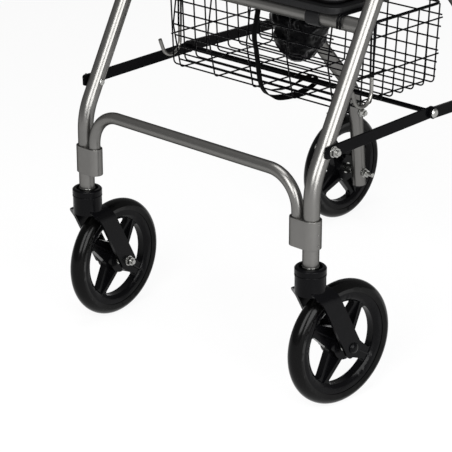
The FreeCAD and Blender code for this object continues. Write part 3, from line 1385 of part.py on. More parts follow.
def pull_strap():
    """Webbing that hangs from the seat tube in front of the basket and loops round the cross rod."""
    half = S.strap_thickness / 2
    tube = on_leg(0, S.seat_tube_height)
    front = STEM_Y + S.basket_front_from_stem
    start = V(0, tube.y + S.seat_tube_radius + half + S.turning_clearance, tube.z)
    lap = S.cross_rod_radius + half + S.turning_clearance
    floor = S.basket_floor_height
    points = [start,
              start - Z_AXIS * S.seat_tube_radius,
              V(0, front - S.strap_upper_gap, floor + S.strap_upper_rise),
              V(0, front - S.strap_lower_gap, floor + S.strap_lower_rise),
              V(0, front + S.strap_front_reach, floor - S.strap_front_drop),
              V(0, front + S.strap_sag_reach, floor - S.strap_sag),
              V(0, KNEE.y + S.strap_loop_reach, KNEE.z - S.strap_loop_drop),
              V(0, KNEE.y + lap, KNEE.z + lap),
              V(0, KNEE.y - S.strap_lap_reach, KNEE.z + lap),
              V(0, front + S.strap_fold_reach, floor - S.strap_fold_drop),
              V(0, front + S.strap_tail_reach, floor - S.strap_tail_drop)]
    loose, bend = S.strap_loose_bend_radius, S.strap_bend_radius
    radii = (bend, loose, bend, bend, loose, S.strap_loop_bend_radius, S.strap_rod_bend_radius, bend, loose)
    path = bent_path(points, radii)
    along = V(points[1] - points[0]).normalize()
    across = V(0, -along.z, along.y) * half
    side = X_AXIS * S.strap_width / 2
    corners = [start - across - side, start - across + side, start + across + side, start + across - side]
    section = Part.makePolygon(corners + corners[:1])
    band = path.makePipeShell([section], True, False, 1)
    band.translate(X_AXIS * S.strap_offset)
    feature("pull_strap", band)


def handle_vertex(x):
    """Where the handle's lean meets its level grip."""
    return on_leg(x, S.grip_height)


def handles():
    """Telescopic handle tubes, grips, lever mounts and brake levers."""
    for name, side in SIDES:
        x = side * S.front_track_half
        vertex = handle_vertex(x)
        start = along_leg(on_leg(x, S.leg_top_height), -S.handle_insertion)
        end = vertex + Y_AXIS * S.handle_reach
        path = bent_path((start, vertex, end), (S.handle_bend_radius,))
        feature("handle_tube_" + name, tube_along(path, S.handle_tube_radius, S.handle_tube_wall))
        grip(name, end)
        lever(name, end)


def grip(name, end):
    """Moulded hand grip with a closed end and a slight waist."""
    front = end.y - S.grip_length
    bore = S.handle_tube_radius + S.turning_clearance
    low = S.grip_radius - S.grip_end_wall / 2
    corners = [V(0, front, bore), V(0, front, low), V(0, front + S.grip_end_wall, S.grip_radius)]
    edges = [Part.LineSegment(a, b).toShape() for a, b in zip(corners, corners[1:])]
    tail = V(0, end.y, S.grip_radius)
    middle = V(0, (corners[-1].y + tail.y) / 2, low)
    edges.append(Part.Arc(corners[-1], middle, tail).toShape())
    outer_end = end.y + S.grip_end_wall
    inner_end = end.y + S.turning_clearance
    outline_points = [tail, V(0, outer_end, low), V(0, outer_end, 0), V(0, inner_end, 0),
                      V(0, inner_end, bore), corners[0]]
    edges += [Part.LineSegment(a, b).toShape() for a, b in zip(outline_points, outline_points[1:])]
    solid = Part.Face(Part.Wire(edges)).revolve(V(), Y_AXIS, 360)
    feature("grip_" + name, solid, FreeCAD.Placement(V(end.x, 0, end.z), NO_TURN))


def lever_pivot(end):
    """The brake lever's pivot below the tube, just ahead of the grip."""
    front = end.y - S.grip_length - S.lever_mount_length / 2 - S.seating_gap
    return V(end.x, front, end.z - S.lever_pivot_drop)


def lever(name, end):
    """A clamp on the handle tube with two cheeks, and the brake lever between them."""
    pivot = lever_pivot(end)
    centre = V(end.x, pivot.y, end.z)
    half = Y_AXIS * S.lever_mount_length / 2
    clamp = bar(S.lever_mount_radius, centre - half, centre + half)
    cheeks = []
    for side in (-1, 1):
        inner = S.lever_barrel_half_width + S.seating_gap
        start = inner if side > 0 else -inner - S.lever_cheek_thickness
        cheeks.append(Part.makeBox(S.lever_cheek_thickness, S.lever_mount_length, S.lever_pivot_drop,
                                   V(end.x + start, pivot.y - S.lever_mount_length / 2, pivot.z)))
        cheeks.append(Part.makeCylinder(S.lever_mount_length / 2, S.lever_cheek_thickness,
                                        pivot + X_AXIS * start, X_AXIS))
    tube_bore = bar(S.handle_tube_radius + S.turning_clearance, centre - half, centre + half)
    outer = S.lever_barrel_half_width + S.seating_gap + S.lever_cheek_thickness
    pin = bar(S.lever_pin_radius, pivot - X_AXIS * outer, pivot + X_AXIS * outer)
    mount = clamp.fuse(cheeks).cut(tube_bore)
    swing_room = Part.makeCylinder(S.lever_barrel_radius + S.seating_gap * 2, 2 * S.lever_barrel_half_width
                                   + 2 * S.seating_gap,
                                   pivot - X_AXIS * (S.lever_barrel_half_width + S.seating_gap), X_AXIS)
    feature("lever_mount_" + name, mount.cut(swing_room).fuse(pin))
    low = end.z - S.lever_drop
    points = (pivot, V(end.x, pivot.y + S.lever_barrel_radius * 2, low),
              V(end.x, pivot.y + S.lever_length, low))
    arm = rod_along(bent_path(points, (S.lever_barrel_radius * 2,)), S.lever_rod_radius)
    barrel = bar(S.lever_barrel_radius, pivot - X_AXIS * S.lever_barrel_half_width,
                 pivot + X_AXIS * S.lever_barrel_half_width)
    tip = Part.makeSphere(S.lever_rod_radius, points[-1])
    hole = cross_hole(pivot, S.lever_pin_radius + S.turning_clearance)
    feature("brake_lever_" + name, barrel.fuse((arm, tip)).cut(hole))


def build():
    """Make every sub-part."""
    front_legs()
    crossbar()
    crossbar_brackets()
    seat_tube()
    caster_stems()
    caster_bearings()
    front_frame_bolts()
    handle_collars()
    handle_knobs()
    backrest()
    casters()
    wheels()
    rear_legs()
    rear_leg_plugs()
    rear_frame_bolts()
    rear_spacers()
    rear_hub_bearings()
    brakes()
    struts()
    cross_rod()
    knee_caps()
    seat_board()
    seat_cushion()
    seat_hinge_clips()
    basket()
    carry_hooks()
    shopping_bag()
    pull_strap()
    handles()


def check_and_write():
    """Refuse a failed object or shape, then write one file for each node."""
    doc.recompute()
    for item in doc.Objects:
        if "Invalid" in item.State or "Error" in item.State:
            raise RuntimeError("%s failed: %s" % (item.Label, item.State))
    for piece in nodes:
        if piece.Shape.isNull() or not piece.Shape.isValid() or not piece.Shape.Solids:
            raise RuntimeError("%s has no valid solid" % piece.Label)
    os.makedirs("parts", exist_ok=True)
    for piece in nodes:
        piece.Shape.exportStep("parts/%s.step" % piece.Label)
    print(len(nodes), "nodes written")


build()
check_and_write()
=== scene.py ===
"""Looks of a four-wheeled walking frame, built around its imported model.

Lengths are in metres and angles in degrees unless a name says otherwise. X points to the walker's right
as the picture shows it, Y to the rear wheels and Z up. The origin lies on the floor under the middle.
"""

import json
import logging
from dataclasses import dataclass
from enum import Enum
from math import cos, exp, hypot, pi, radians, sin, sqrt, tan
from typing import Optional, Sequence, Union

import bmesh
import bpy
from bpy.types import ID, Material, Mesh, Node, NodeSocket, NodeTree, Object
from mathutils import Matrix, Vector, noise

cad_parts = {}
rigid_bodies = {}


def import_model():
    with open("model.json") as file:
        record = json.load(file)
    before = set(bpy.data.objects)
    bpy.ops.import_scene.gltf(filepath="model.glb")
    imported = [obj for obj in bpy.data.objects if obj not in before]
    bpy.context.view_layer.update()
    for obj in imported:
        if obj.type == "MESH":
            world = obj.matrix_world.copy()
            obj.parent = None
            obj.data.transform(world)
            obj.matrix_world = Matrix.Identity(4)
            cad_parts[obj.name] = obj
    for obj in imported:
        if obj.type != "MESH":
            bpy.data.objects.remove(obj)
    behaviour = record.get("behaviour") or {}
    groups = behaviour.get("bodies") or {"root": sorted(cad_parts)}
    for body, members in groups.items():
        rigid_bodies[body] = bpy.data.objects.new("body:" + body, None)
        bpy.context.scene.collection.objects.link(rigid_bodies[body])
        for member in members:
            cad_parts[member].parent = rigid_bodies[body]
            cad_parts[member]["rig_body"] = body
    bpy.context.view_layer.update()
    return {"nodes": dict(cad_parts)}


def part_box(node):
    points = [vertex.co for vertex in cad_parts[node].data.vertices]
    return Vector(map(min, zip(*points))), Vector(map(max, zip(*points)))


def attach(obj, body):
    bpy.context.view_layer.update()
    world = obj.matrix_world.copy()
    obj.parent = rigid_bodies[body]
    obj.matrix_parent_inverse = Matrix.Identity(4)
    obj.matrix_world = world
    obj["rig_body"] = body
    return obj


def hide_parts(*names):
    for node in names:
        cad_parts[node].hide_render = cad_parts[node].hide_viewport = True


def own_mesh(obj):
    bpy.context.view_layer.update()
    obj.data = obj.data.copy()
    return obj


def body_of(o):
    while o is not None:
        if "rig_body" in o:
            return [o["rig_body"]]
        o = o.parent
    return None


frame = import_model()
LOG = logging.getLogger("walking_frame")

MM = 0.001
SIDES = (("left", -1), ("right", 1))
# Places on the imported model: stems, front legs, the casters' turn and the seat tube.
STEM_Y = -0.362
LEG_LEAN = radians(27.5)
LEG_BEND_HEIGHT = 0.366
LEG_X = 0.242
TOE = {"left": 4.0, "right": -6.0}
SEAT_TUBE_HEIGHT = 0.580
# Points closer than this are merged, flatter faces joined and sharper creases kept.
MERGE_DISTANCE = 0.02 * MM
FLAT_ANGLE = radians(0.6)
CREASE_ANGLE = radians(32.0)
BEVEL_ANGLE = radians(35.0)
# The colour sockets of a mix node.
MIX_FIRST, MIX_SECOND, MIX_RESULT = 6, 7, 2
# How far a wave node turns in one unit of its coordinates.
WAVE_RADIANS = 20
CLOTH_FRAMES = 20
UP = Vector((0, 0, 1))

Value = Union[float, int, bool, str, tuple, NodeSocket, Material]
Row = Sequence[Vector]
Faces = Sequence[Sequence[int]]
Pairs = Sequence[tuple[float, float]]
Triples = Sequence[tuple[float, float, float]]


def linear(code: str) -> tuple[float, float, float, float]:
    """Turn an sRGB hex colour into the linear values a shader reads.

    Args:
        code: Six hex digits after a hash sign.

    Returns:
        Red, green, blue and an alpha of one.
    """
    values = [int(code[i:i + 2], 16) / 255 for i in (1, 3, 5)]
    red, green, blue = [v / 12.92 if v <= 0.04045 else ((v + 0.055) / 1.055) ** 2.4 for v in values]
    return red, green, blue, 1.0


def add_node(tree: NodeTree, kind: str, settings: Optional[dict[str, Value]] = None,
             inputs: Optional[dict[Union[str, int], Value]] = None) -> Node:
    """Add a node with its settings and links.

    Args:
        tree: The tree that gets the node.
        kind: The node's type name.
        settings: The node's own properties by name.
        inputs: Values or sockets for its inputs, by name or number.

    Returns:
        The new node.
    """
    node = tree.nodes.new(kind)
    for name, value in (settings or {}).items():
        setattr(node, name, value)
    for key, value in (inputs or {}).items():
        if isinstance(value, NodeSocket):
            tree.links.new(value, node.inputs[key])
        else:
            node.inputs[key].default_value = value
    return node


class Relief(Enum):
    """How a surface's fine relief was made."""

    ORANGE_PEEL = "sprayed paint that has flowed out"
    MOULD_GRAIN = "fine spark-eroded grain of a mould"
    BRUSHED = "drawn or turned metal with fine lines"
    LEATHER = "embossed cells of coated cloth"
    WEAVE = "crossing threads"
    CRUMPLE = "creases of thin film cloth"
    FOAM = "closed cells of a foam skin"


@dataclass(frozen=True)
class Finish:
    """One finish: its colours, its shine and the relief of its surface. Sizes are in millimetres."""

    name: str
    slot: str
    colour: str
    shade: str
    roughness: float
    relief: Relief
    relief_size: float
    relief_depth: float
    metallic: float = 0.0
    swing: float = 0.06
    tone_size: float = 25.0
    sheen: float = 0.0
    specular: float = 0.5
    # Tint of the reflections at grazing angles; below white it is painted shade that darkens a metal's edges.
    painted_edge_shade: str = "#ffffff"

    def height(self, tree: NodeTree, place: NodeSocket) -> NodeSocket:
        """Draw the relief's height.

        Args:
            tree: The material's tree.
            place: The coordinates that the relief reads.

        Returns:
            A socket with the height, from nought to one.
        """
        scale = 1 / (self.relief_size * MM)
        if self.relief in (Relief.LEATHER, Relief.FOAM, Relief.CRUMPLE):
            film = self.relief is Relief.CRUMPLE
            grain, detail = (scale, 3.0) if film else (scale / 3, 2.0)
            feature = "DISTANCE_TO_EDGE" if film else "SMOOTH_F1"
            bend = add_node(tree, "ShaderNodeTexNoise", None, {
                "Vector": place, "Scale": grain, "Detail": detail})
            moved = add_node(tree, "ShaderNodeVectorMath", {"operation": "MULTIPLY_ADD"}, {
                0: bend.outputs["Color"], 1: (self.relief_size * MM,) * 3, 2: place})
            cells = add_node(tree, "ShaderNodeTexVoronoi", {"feature": feature}, {
                "Vector": moved.outputs[0], "Scale": scale})
            if not film:
                cells.inputs["Smoothness"].default_value = 0.4
            return cells.outputs["Distance"]
        if self.relief is Relief.WEAVE:
            waves = [add_node(tree, "ShaderNodeTexWave", {"bands_direction": direction},
                              {"Vector": place, "Scale": scale / WAVE_RADIANS}) for direction in ("X", "Y")]
            crossed = add_node(tree, "ShaderNodeMath", {"operation": "MULTIPLY"}, {
                0: waves[0].outputs["Fac"], 1: waves[1].outputs["Fac"]})
            return crossed.outputs[0]
        stretch = (1.0, 1.0, 0.03) if self.relief is Relief.BRUSHED else (1.0, 1.0, 1.0)
        aligned = add_node(tree, "ShaderNodeMapping", None, {"Vector": place, "Scale": stretch})
        detail = 1.0 if self.relief is Relief.ORANGE_PEEL else 4.0
        grain = add_node(tree, "ShaderNodeTexNoise", None, {
            "Vector": aligned.outputs[0], "Scale": scale, "Detail": detail})
        return grain.outputs["Fac"]

    def material(self) -> Material:
        """Build the material once and give it again when it is asked for later."""
        made = bpy.data.materials.get(self.name)
        if made:
            return made
        made = bpy.data.materials.new(self.name)
        made.use_nodes = True
        tree = made.node_tree
        shader = tree.nodes["Principled BSDF"]
        coordinates = add_node(tree, "ShaderNodeTexCoord")
        woven = self.relief is Relief.WEAVE
        place = coordinates.outputs["UV" if woven else "Object"]
        tone = add_node(tree, "ShaderNodeTexNoise", None, {
            "Vector": coordinates.outputs["Object"], "Scale": 1 / (self.tone_size * MM), "Detail": 3.0})
        height = self.height(tree, place)
        mixed = add_node(tree, "ShaderNodeMix", {"data_type": "RGBA"}, {
            "Factor": tone.outputs["Fac"], MIX_FIRST: linear(self.colour), MIX_SECOND: linear(self.shade)})
        half = self.swing / 2
        rough = add_node(tree, "ShaderNodeMapRange", None, {
            "Value": height, "To Min": self.roughness - half, "To Max": self.roughness + half})
        bump = add_node(tree, "ShaderNodeBump", None, {
            "Height": height, "Distance": self.relief_depth * MM, "Strength": 1.0})
        tree.links.new(mixed.outputs[MIX_RESULT], shader.inputs["Base Color"])
        tree.links.new(rough.outputs[0], shader.inputs["Roughness"])
        tree.links.new(bump.outputs[0], shader.inputs["Normal"])
        # The edge tint goes into Specular Tint, where a grey paints shade on the edges.
        values = {"Metallic": self.metallic, "Specular IOR Level": self.specular,
                  "Specular Tint": linear(self.painted_edge_shade), "Sheen Weight": self.sheen}
        for name, value in values.items():
            shader.inputs[name].default_value = value
        return made


# Metallic enamel sprayed on steel tube: a satin grey with long soft highlights, and dark edges that are
# painted shade from a dark grey edge tint.
SILVER = Finish("silver_enamel", "silver_paint", "#737270", "#6b6a68", 0.3, Relief.ORANGE_PEEL, 1.6, 0.005,
                metallic=0.9, swing=0.05, painted_edge_shade="#3c3c3c")
# Gloss black enamel on steel bar and wire: near black, with thin faint highlights.
BLACK = Finish("gloss_black_enamel", "black_paint", "#030304", "#060607", 0.18, Relief.ORANGE_PEEL, 1.4,
               0.005, specular=0.035)
# Bright zinc on turned steel: pale, with fine lines that stretch its highlights; a grey edge tint paints
# shade on its edges.
ZINC = Finish("bright_zinc_steel", "bright_steel", "#b4b4b1", "#9c9c99", 0.24, Relief.BRUSHED, 0.5, 0.004,
              metallic=1.0, swing=0.14, painted_edge_shade="#8a8a8a")
# Dull nickel plate on bent rod: a mid grey with blurred highlights; a dark grey edge tint paints shade on its
# edges.
NICKEL = Finish("dull_nickel_plate", "plated_hook", "#8d8c89", "#7c7b78", 0.34, Relief.ORANGE_PEEL, 1.2,
                0.006, metallic=1.0, swing=0.1, painted_edge_shade="#555555")
# Glass-filled nylon, injection moulded: black with a soft gloss.
NYLON = Finish("moulded_black_nylon", "black_moulding", "#030304", "#060607", 0.24, Relief.MOULD_GRAIN, 0.6,
               0.005, swing=0.1, specular=0.08)
# Polypropylene, injection moulded: a dark grey that hardly shines.
PLASTIC = Finish("moulded_black_polypropylene", "black_plastic", "#0e0e0f", "#131314", 0.42,
                 Relief.MOULD_GRAIN, 0.7, 0.012, swing=0.1, specular=0.14)
# Black enamel on the pressed steel and rod of the brakes: a satin black with soft highlights.
BRAKE = Finish("satin_black_enamel", "brake_metal", "#060607", "#0a0a0b", 0.3, Relief.ORANGE_PEEL, 1.4, 0.008,
               specular=0.12)
# Solid rubber from a polished mould: deep black with a smooth gloss.
RUBBER = Finish("polished_black_rubber", "tyre_rubber", "#030303", "#060606", 0.17, Relief.MOULD_GRAIN, 1.2,
                0.003, swing=0.08, specular=0.1)
# Soft rubber of the grips and foam of the back rest: dry and dark.
FOAM = Finish("dark_foam_rubber", "grip_rubber", "#121212", "#181818", 0.75, Relief.FOAM, 0.9, 0.05,
              sheen=0.1, specular=0.3)
# Coated seat cloth: satin black, with an embossed grain that breaks up its highlights.
VINYL = Finish("black_seat_vinyl", "seat_vinyl", "#101011", "#161617", 0.42, Relief.LEATHER, 1.5, 0.1,
               swing=0.12, specular=0.3)
# Polypropylene webbing: dull black. Its crossing waves are 7 mm apart, much coarser than real threads.
WEBBING = Finish("black_webbing", "webbing", "#030303", "#070707", 0.55, Relief.WEAVE, 1.1, 0.2, swing=0.2,
                 specular=0.02)
# Thin coated nylon of a bag: glossy, with sharp creases.
BAG_NYLON = Finish("crumpled_bag_nylon", "bag_cloth", "#030304", "#060607", 0.24, Relief.CRUMPLE, 30.0, 0.5,
                   swing=0.1, specular=0.05)


def placed(name: str, data: ID) -> Object:
    """Put a new object in the scene."""
    obj = bpy.data.objects.new(name, data)
    bpy.context.scene.collection.objects.link(obj)
    return obj


def baked(obj: Object) -> Mesh:
    """A plain mesh of what an object's modifiers make."""
    return bpy.data.meshes.new_from_object(obj.evaluated_get(bpy.context.evaluated_depsgraph_get()))


def new_object(name: str, mesh: Mesh, finish: Finish, body: str) -> Object:
    """Put a mesh in the scene with its finish, riding on a body.

    Args:
        name: The piece's name.
        mesh: Its mesh, already in place.
        finish: The finish that it gets.
        body: The moving body that carries it.

    Returns:
        The new object.
    """
    obj = placed(name, mesh)
    mesh.materials.clear()
    mesh.materials.append(finish.material())
    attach(obj, body)
    LOG.info("%s rides on %s with %d faces", name, body, len(mesh.polygons))
    return obj


def mesh_of(name: str, points: Sequence[Sequence[float]], faces: Faces,
            edges: Faces = ()) -> Mesh:
    """Make a smooth-shaded mesh of points, faces and loose edges."""
    mesh = bpy.data.meshes.new(name)
    mesh.from_pydata([tuple(p) for p in points], list(edges), list(faces))
    mesh.update()
    if faces:
        mesh.shade_smooth()
    return mesh


def skin_of(name: str, points: Sequence[Vector], faces: Faces) -> Mesh:
    """Make a smooth-shaded mesh whose faces all look outwards."""
    mesh = mesh_of(name, points, faces)
    shell = bmesh.new()
    shell.from_mesh(mesh)
    bmesh.ops.recalc_face_normals(shell, faces=shell.faces)
    shell.to_mesh(mesh)
    shell.free()
    return mesh


def loft_faces(rings: int, size: int, closed: bool = False) -> list[tuple[int, ...]]:
    """Join rings of points into a skin.

    Args:
        rings: How many rings there are.
        size: How many points a ring has.
        closed: Whether the last ring joins the first. If not, each end gets a cap.

    Returns:
        The corners of each face.
    """
    faces = []
    for ring in range(rings if closed else rings - 1):
        here, there = ring * size, (ring + 1) % rings * size
        faces += [(here + k, here + (k + 1) % size, there + (k + 1) % size, there + k) for k in range(size)]
    if not closed:
        faces += [tuple(reversed(range(size))), tuple(range((rings - 1) * size, rings * size))]
    return faces


def dressed(node: str, finish: Finish, edge: float = 0.0) -> None:
    """Stand a merged copy of a solid in its place, smooth on its curves and softened along its edges.

    Args:
        node: The solid's name.
        finish: The finish that the copy gets.
        edge: How far the edges are rounded, in millimetres.
    """
    source = frame["nodes"][node]
    shell = bmesh.new()
    shell.from_mesh(source.data)
    bmesh.ops.remove_doubles(shell, verts=shell.verts, dist=MERGE_DISTANCE)
    bmesh.ops.dissolve_limit(shell, angle_limit=FLAT_ANGLE, verts=shell.verts, edges=shell.edges)
    mesh = bpy.data.meshes.new(node + "_skin")
    shell.to_mesh(mesh)
    shell.free()
    mesh.shade_smooth()
    mesh.set_sharp_from_angle(angle=CREASE_ANGLE)
    copy = new_object(node + "_skin", mesh, finish, body_of(source)[0])
    if edge:
        soft = copy.modifiers.new("soft_edges", "BEVEL")
        soft.width = edge * MM
        soft.segments = 2
        soft.limit_method = "ANGLE"
        soft.angle_limit = BEVEL_ANGLE
        soft.harden_normals = True
    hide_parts(node)


def corner_loop(x: float, front: float, rear: float, height: float) -> list[Vector]:
    """Corners of a level rectangle, from the middle of its front and back to it."""
    return [Vector((across, y, height)) for across, y in (
        (0, front), (x, front), (x, rear), (-x, rear), (-x, front), (0, front))]


def rounded_route(corners: Row, radius: float, steps: int) -> list[Vector]:
    """Round the inner corners of a route.

    Args:
        corners: The points where the straight runs meet.
        radius: The radius of each bend.
        steps: The number of chords in a bend.

    Returns:
        The points of the rounded route.
    """
    route = [Vector(corners[0])]
    for before, corner, after in zip(corners, corners[1:], corners[2:]):
        back, ahead = (Vector(before) - Vector(corner)), (Vector(after) - Vector(corner))
        limit = min(back.length, ahead.length) * 0.49
        back.normalize()
        ahead.normalize()
        half = (pi - back.angle(ahead)) / 2
        if half < 0.01:
            continue
        reach = min(radius * tan(half), limit)
        bend = reach / tan(half)
        middle = Vector(corner) + (back + ahead).normalized() * (bend / cos(half))
        first = Vector(corner) + back * reach - middle
        last = Vector(corner) + ahead * reach - middle
        axis = first.cross(last).normalized()
        for step in range(steps + 1):
            route.append(middle + Matrix.Rotation(2 * half * step / steps, 3, axis) @ first)
    route.append(Vector(corners[-1]))
    return route


def smooth_point(before: Vector, start: Vector, end: Vector, after: Vector, part: float) -> Vector:
    """A point between two knots, start and end, on a smooth line through all four."""
    low, high = (end - before) / 2, (after - start) / 2
    square, cube = part * part, part * part * part
    return (start * (2 * cube - 3 * square + 1) + low * (cube - 2 * square + part)
            + end * (3 * square - 2 * cube) + high * (cube - square))


def round_section(radius: float, sides: int) -> Pairs:
    """Corners of a round section."""
    turns = [2 * pi * i / sides for i in range(sides)]
    return [(radius * cos(t), radius * sin(t)) for t in turns]


def swept(name: str, route: Row, section: Pairs, across: Vector,
          closed: bool = False, turns: Sequence[float] = ()) -> Mesh:
    """Carry a section along a route.

    Args:
        name: The mesh's name.
        route: The points of the centre line.
        section: Points of the section, as across and up.
        across: The direction that the section's first axis starts near.
        closed: Whether the route joins up with itself.
        turns: How far the section is twisted at each point of the route, if it is.

    Returns:
        A closed mesh with a UV map in metres, U round the section and V along the route.
    """
    count = len(route)
    side = Vector(across).normalized()
    points = []
    travelled = [0.0]
    for i, spot in enumerate(route):
        before = route[i - 1] if i or closed else spot
        after = route[(i + 1) % count] if i < count - 1 or closed else spot
        along = (after - before).normalized()
        side = (side - along * side.dot(along)).normalized()
        up = along.cross(side)
        twist = Matrix.Rotation(radians(turns[i]) if turns else 0.0, 3, along)
        points += [spot + twist @ (side * u + up * v) for u, v in section]
        travelled.append(travelled[-1] + (route[(i + 1) % count] - spot).length)
    size = len(section)
    mesh = skin_of(name, points, loft_faces(count, size, closed))
    girth = [0.0]
    for (u, v), (p, q) in zip(section, list(section[1:]) + [section[0]]):
        girth.append(girth[-1] + hypot(p - u, q - v))
    layer = mesh.uv_layers.new(name="threads")
    for polygon in mesh.polygons:
        for corner in polygon.loop_indices:
            index = mesh.loops[corner].vertex_index
            layer.data[corner].uv = (girth[index % size], travelled[index // size])
    return mesh


def lathed(name: str, profile: Pairs, start: Vector, axis: Vector,
           sides: int = 48) -> Mesh:
    """Turn a profile of (distance along, radius) points about an axis into a closed skin."""
    across = axis.orthogonal().normalized()
    up = axis.cross(across)
    points = []
    for along, radius in profile:
        for k in range(sides):
            turn = 2 * pi * k / sides
            points.append(start + axis * along + (across * cos(turn) + up * sin(turn)) * radius)
    return skin_of(name, points, loft_faces(len(profile), sides))


class Inlet(Enum):
    """Socket types of a tree's named inputs."""

    GEOMETRY = "NodeSocketGeometry"
    LENGTH = "NodeSocketFloat"
    COUNT = "NodeSocketInt"
    MATERIAL = "NodeSocketMaterial"


class PathTree:
    """A Geometry Nodes tree that turns a mesh of edges into pieces along its lines."""

    def __init__(self, name: str, inlets: dict[str, Inlet]) -> None:
        """Start the tree.

        Args:
            name: The tree's name.
            inlets: Its named inputs after the geometry.
        """
        self.tree = bpy.data.node_groups.new(name, "GeometryNodeTree")
        for label, kind in {"Geometry": Inlet.GEOMETRY, **inlets}.items():
            self.tree.interface.new_socket(label, in_out="INPUT", socket_type=kind.value)
        self.tree.interface.new_socket("Geometry", in_out="OUTPUT", socket_type=Inlet.GEOMETRY.value)
        self.start = add_node(self.tree, "NodeGroupInput")
        lines = add_node(self.tree, "GeometryNodeMeshToCurve", None, {"Mesh": self.start.outputs["Geometry"]})
        self.lines = lines.outputs["Curve"]

    def close(self, shape: NodeSocket) -> None:
        """End the tree: smooth it, make its instances real and set the material."""
        smooth = add_node(self.tree, "GeometryNodeSetShadeSmooth", None, {"Geometry": shape})
        real = add_node(self.tree, "GeometryNodeRealizeInstances", None, {"Geometry": smooth.outputs[0]})
        painted = add_node(self.tree, "GeometryNodeSetMaterial", None, {
            "Geometry": real.outputs[0], "Material": self.start.outputs["Material"]})
        add_node(self.tree, "NodeGroupOutput", None, {0: painted.outputs[0]})

    def run(self, name: str, routes: Sequence[Row], finish: Finish, body: str,
            values: dict[str, float]) -> Object:
        """Run the tree on routes and keep the plain mesh.

        Args:
            name: The new piece's name.
            routes: The lines that the tree follows; one whose ends are the same point is closed.
            finish: The finish that the piece gets.
            body: The body that carries it.
            values: The sizes of the tree's named inputs.

        Returns:
            The finished piece.
        """
        points, edges = [], []
        for route in routes:
            first = len(points)
            looped = (Vector(route[0]) - Vector(route[-1])).length < MM / 10
            kept = list(route[:-1]) if looped else list(route)
            points += kept
            edges += [(first + i, first + i + 1) for i in range(len(kept) - 1)]
            if looped:
                edges.append((first + len(kept) - 1, first))
        draft = placed(name + "_route", mesh_of(name + "_route", points, (), edges))
        grown = draft.modifiers.new(name, "NODES")
        grown.node_group = self.tree
        values = {**values, "Material": finish.material()}
        for item in self.tree.interface.items_tree:
            if item.in_out == "INPUT" and item.name in values:
                grown[item.identifier] = values[item.name]
        mesh = baked(draft)
        draft.modifiers.remove(grown)
        bpy.data.objects.remove(draft)
        return new_object(name, mesh, finish, body)


class WireTree(PathTree):
    """Round wire with bent corners along each line."""

    BEND_CHORDS = 6

    def __init__(self) -> None:
        """Build the tree."""
        super().__init__("bent_wire", {
            "Wire Radius": Inlet.LENGTH, "Bend Radius": Inlet.LENGTH, "Sides": Inlet.COUNT,
            "Material": Inlet.MATERIAL})
        source = self.start.outputs
        bent = add_node(self.tree, "GeometryNodeFilletCurve", {"mode": "POLY"}, {
            "Curve": self.lines, "Radius": source["Bend Radius"], "Limit Radius": True,
            "Count": self.BEND_CHORDS})
        ring = add_node(self.tree, "GeometryNodeCurvePrimitiveCircle", None, {
            "Resolution": source["Sides"], "Radius": source["Wire Radius"]})
        wire = add_node(self.tree, "GeometryNodeCurveToMesh", None, {
            "Curve": bent.outputs[0], "Profile Curve": ring.outputs[0], "Fill Caps": True})
        self.close(wire.outputs[0])

    def bend(self, name: str, routes: Sequence[Row], radius: float, corner: float, sides: int) -> Object:
        """Bend black wires of a radius, with bends of another, for the basket."""
        return self.run(name, routes, BLACK, "basket", {
            "Wire Radius": radius, "Bend Radius": corner, "Sides": sides})


class BeadTree(PathTree):
    """Short beads at even steps along each line, such as spots of weld."""

    def __init__(self) -> None:
        """Build the tree."""
        super().__init__("bead_row", {
            "Step": Inlet.LENGTH, "Bead Radius": Inlet.LENGTH, "Bead Length": Inlet.LENGTH,
            "Material": Inlet.MATERIAL})
        source = self.start.outputs
        spots = add_node(self.tree, "GeometryNodeCurveToPoints", {"mode": "LENGTH"}, {
            "Curve": self.lines, "Length": source["Step"]})
        bead = add_node(self.tree, "GeometryNodeMeshIcoSphere", None, {"Radius": 1.0, "Subdivisions": 2})
        size = add_node(self.tree, "ShaderNodeCombineXYZ", None, {
            0: source["Bead Radius"], 1: source["Bead Radius"], 2: source["Bead Length"]})
        row = add_node(self.tree, "GeometryNodeInstanceOnPoints", None, {
            "Points": spots.outputs["Points"], "Instance": bead.outputs["Mesh"],
            "Rotation": spots.outputs["Rotation"], "Scale": size.outputs[0]})
        self.close(row.outputs[0])


def leg_axis(height: float) -> float:
    """The Y of the front legs' axis above their bend."""
    return STEM_Y + (height - LEG_BEND_HEIGHT) * tan(LEG_LEAN)


def inflated(obj: Object, cap: float, floor_height: float, pressure: float = 4.0) -> None:
    """Swell a closed skin as stuffing does, with the movement of each point capped.

    Args:
        obj: The piece, whose mesh is changed.
        cap: The furthest that a point may move.
        floor_height: The height of the board that the piece lies on.
        pressure: The cloth's inner pressure.
    """
    start = [v.co.copy() for v in obj.data.vertices]
    cloth = obj.modifiers.new("stuffing", "CLOTH")
    cloth.settings.use_pressure = True
    cloth.settings.uniform_pressure_force = pressure
    cloth.settings.effector_weights.gravity = 0.0
    scene = bpy.context.scene
    for step in range(1, CLOTH_FRAMES + 1):
        scene.frame_set(step)
    dependencies = bpy.context.evaluated_depsgraph_get()
    swollen = obj.evaluated_get(dependencies).to_mesh()
    moved = []
    for before, vertex in zip(start, swollen.vertices):
        shift = vertex.co - before
        if shift.length > cap:
            shift *= cap / shift.length
        spot = before + shift
        spot.z = max(spot.z, floor_height)
        moved.append(spot)
    obj.modifiers.remove(cloth)
    scene.frame_set(1)
    for vertex, spot in zip(obj.data.vertices, moved):
        vertex.co = spot
    obj.data.update()


def remeshed(obj: Object, voxel: float) -> None:
    """Give a closed skin an even mesh."""
    even = obj.modifiers.new("even", "REMESH")
    even.mode = "VOXEL"
    even.voxel_size = voxel
    even.use_smooth_shade = True
    mesh = baked(obj)
    obj.modifiers.remove(even)
    materials = list(obj.data.materials)
    obj.data = mesh
    mesh.materials.clear()
    for material in materials:
        mesh.materials.append(material)


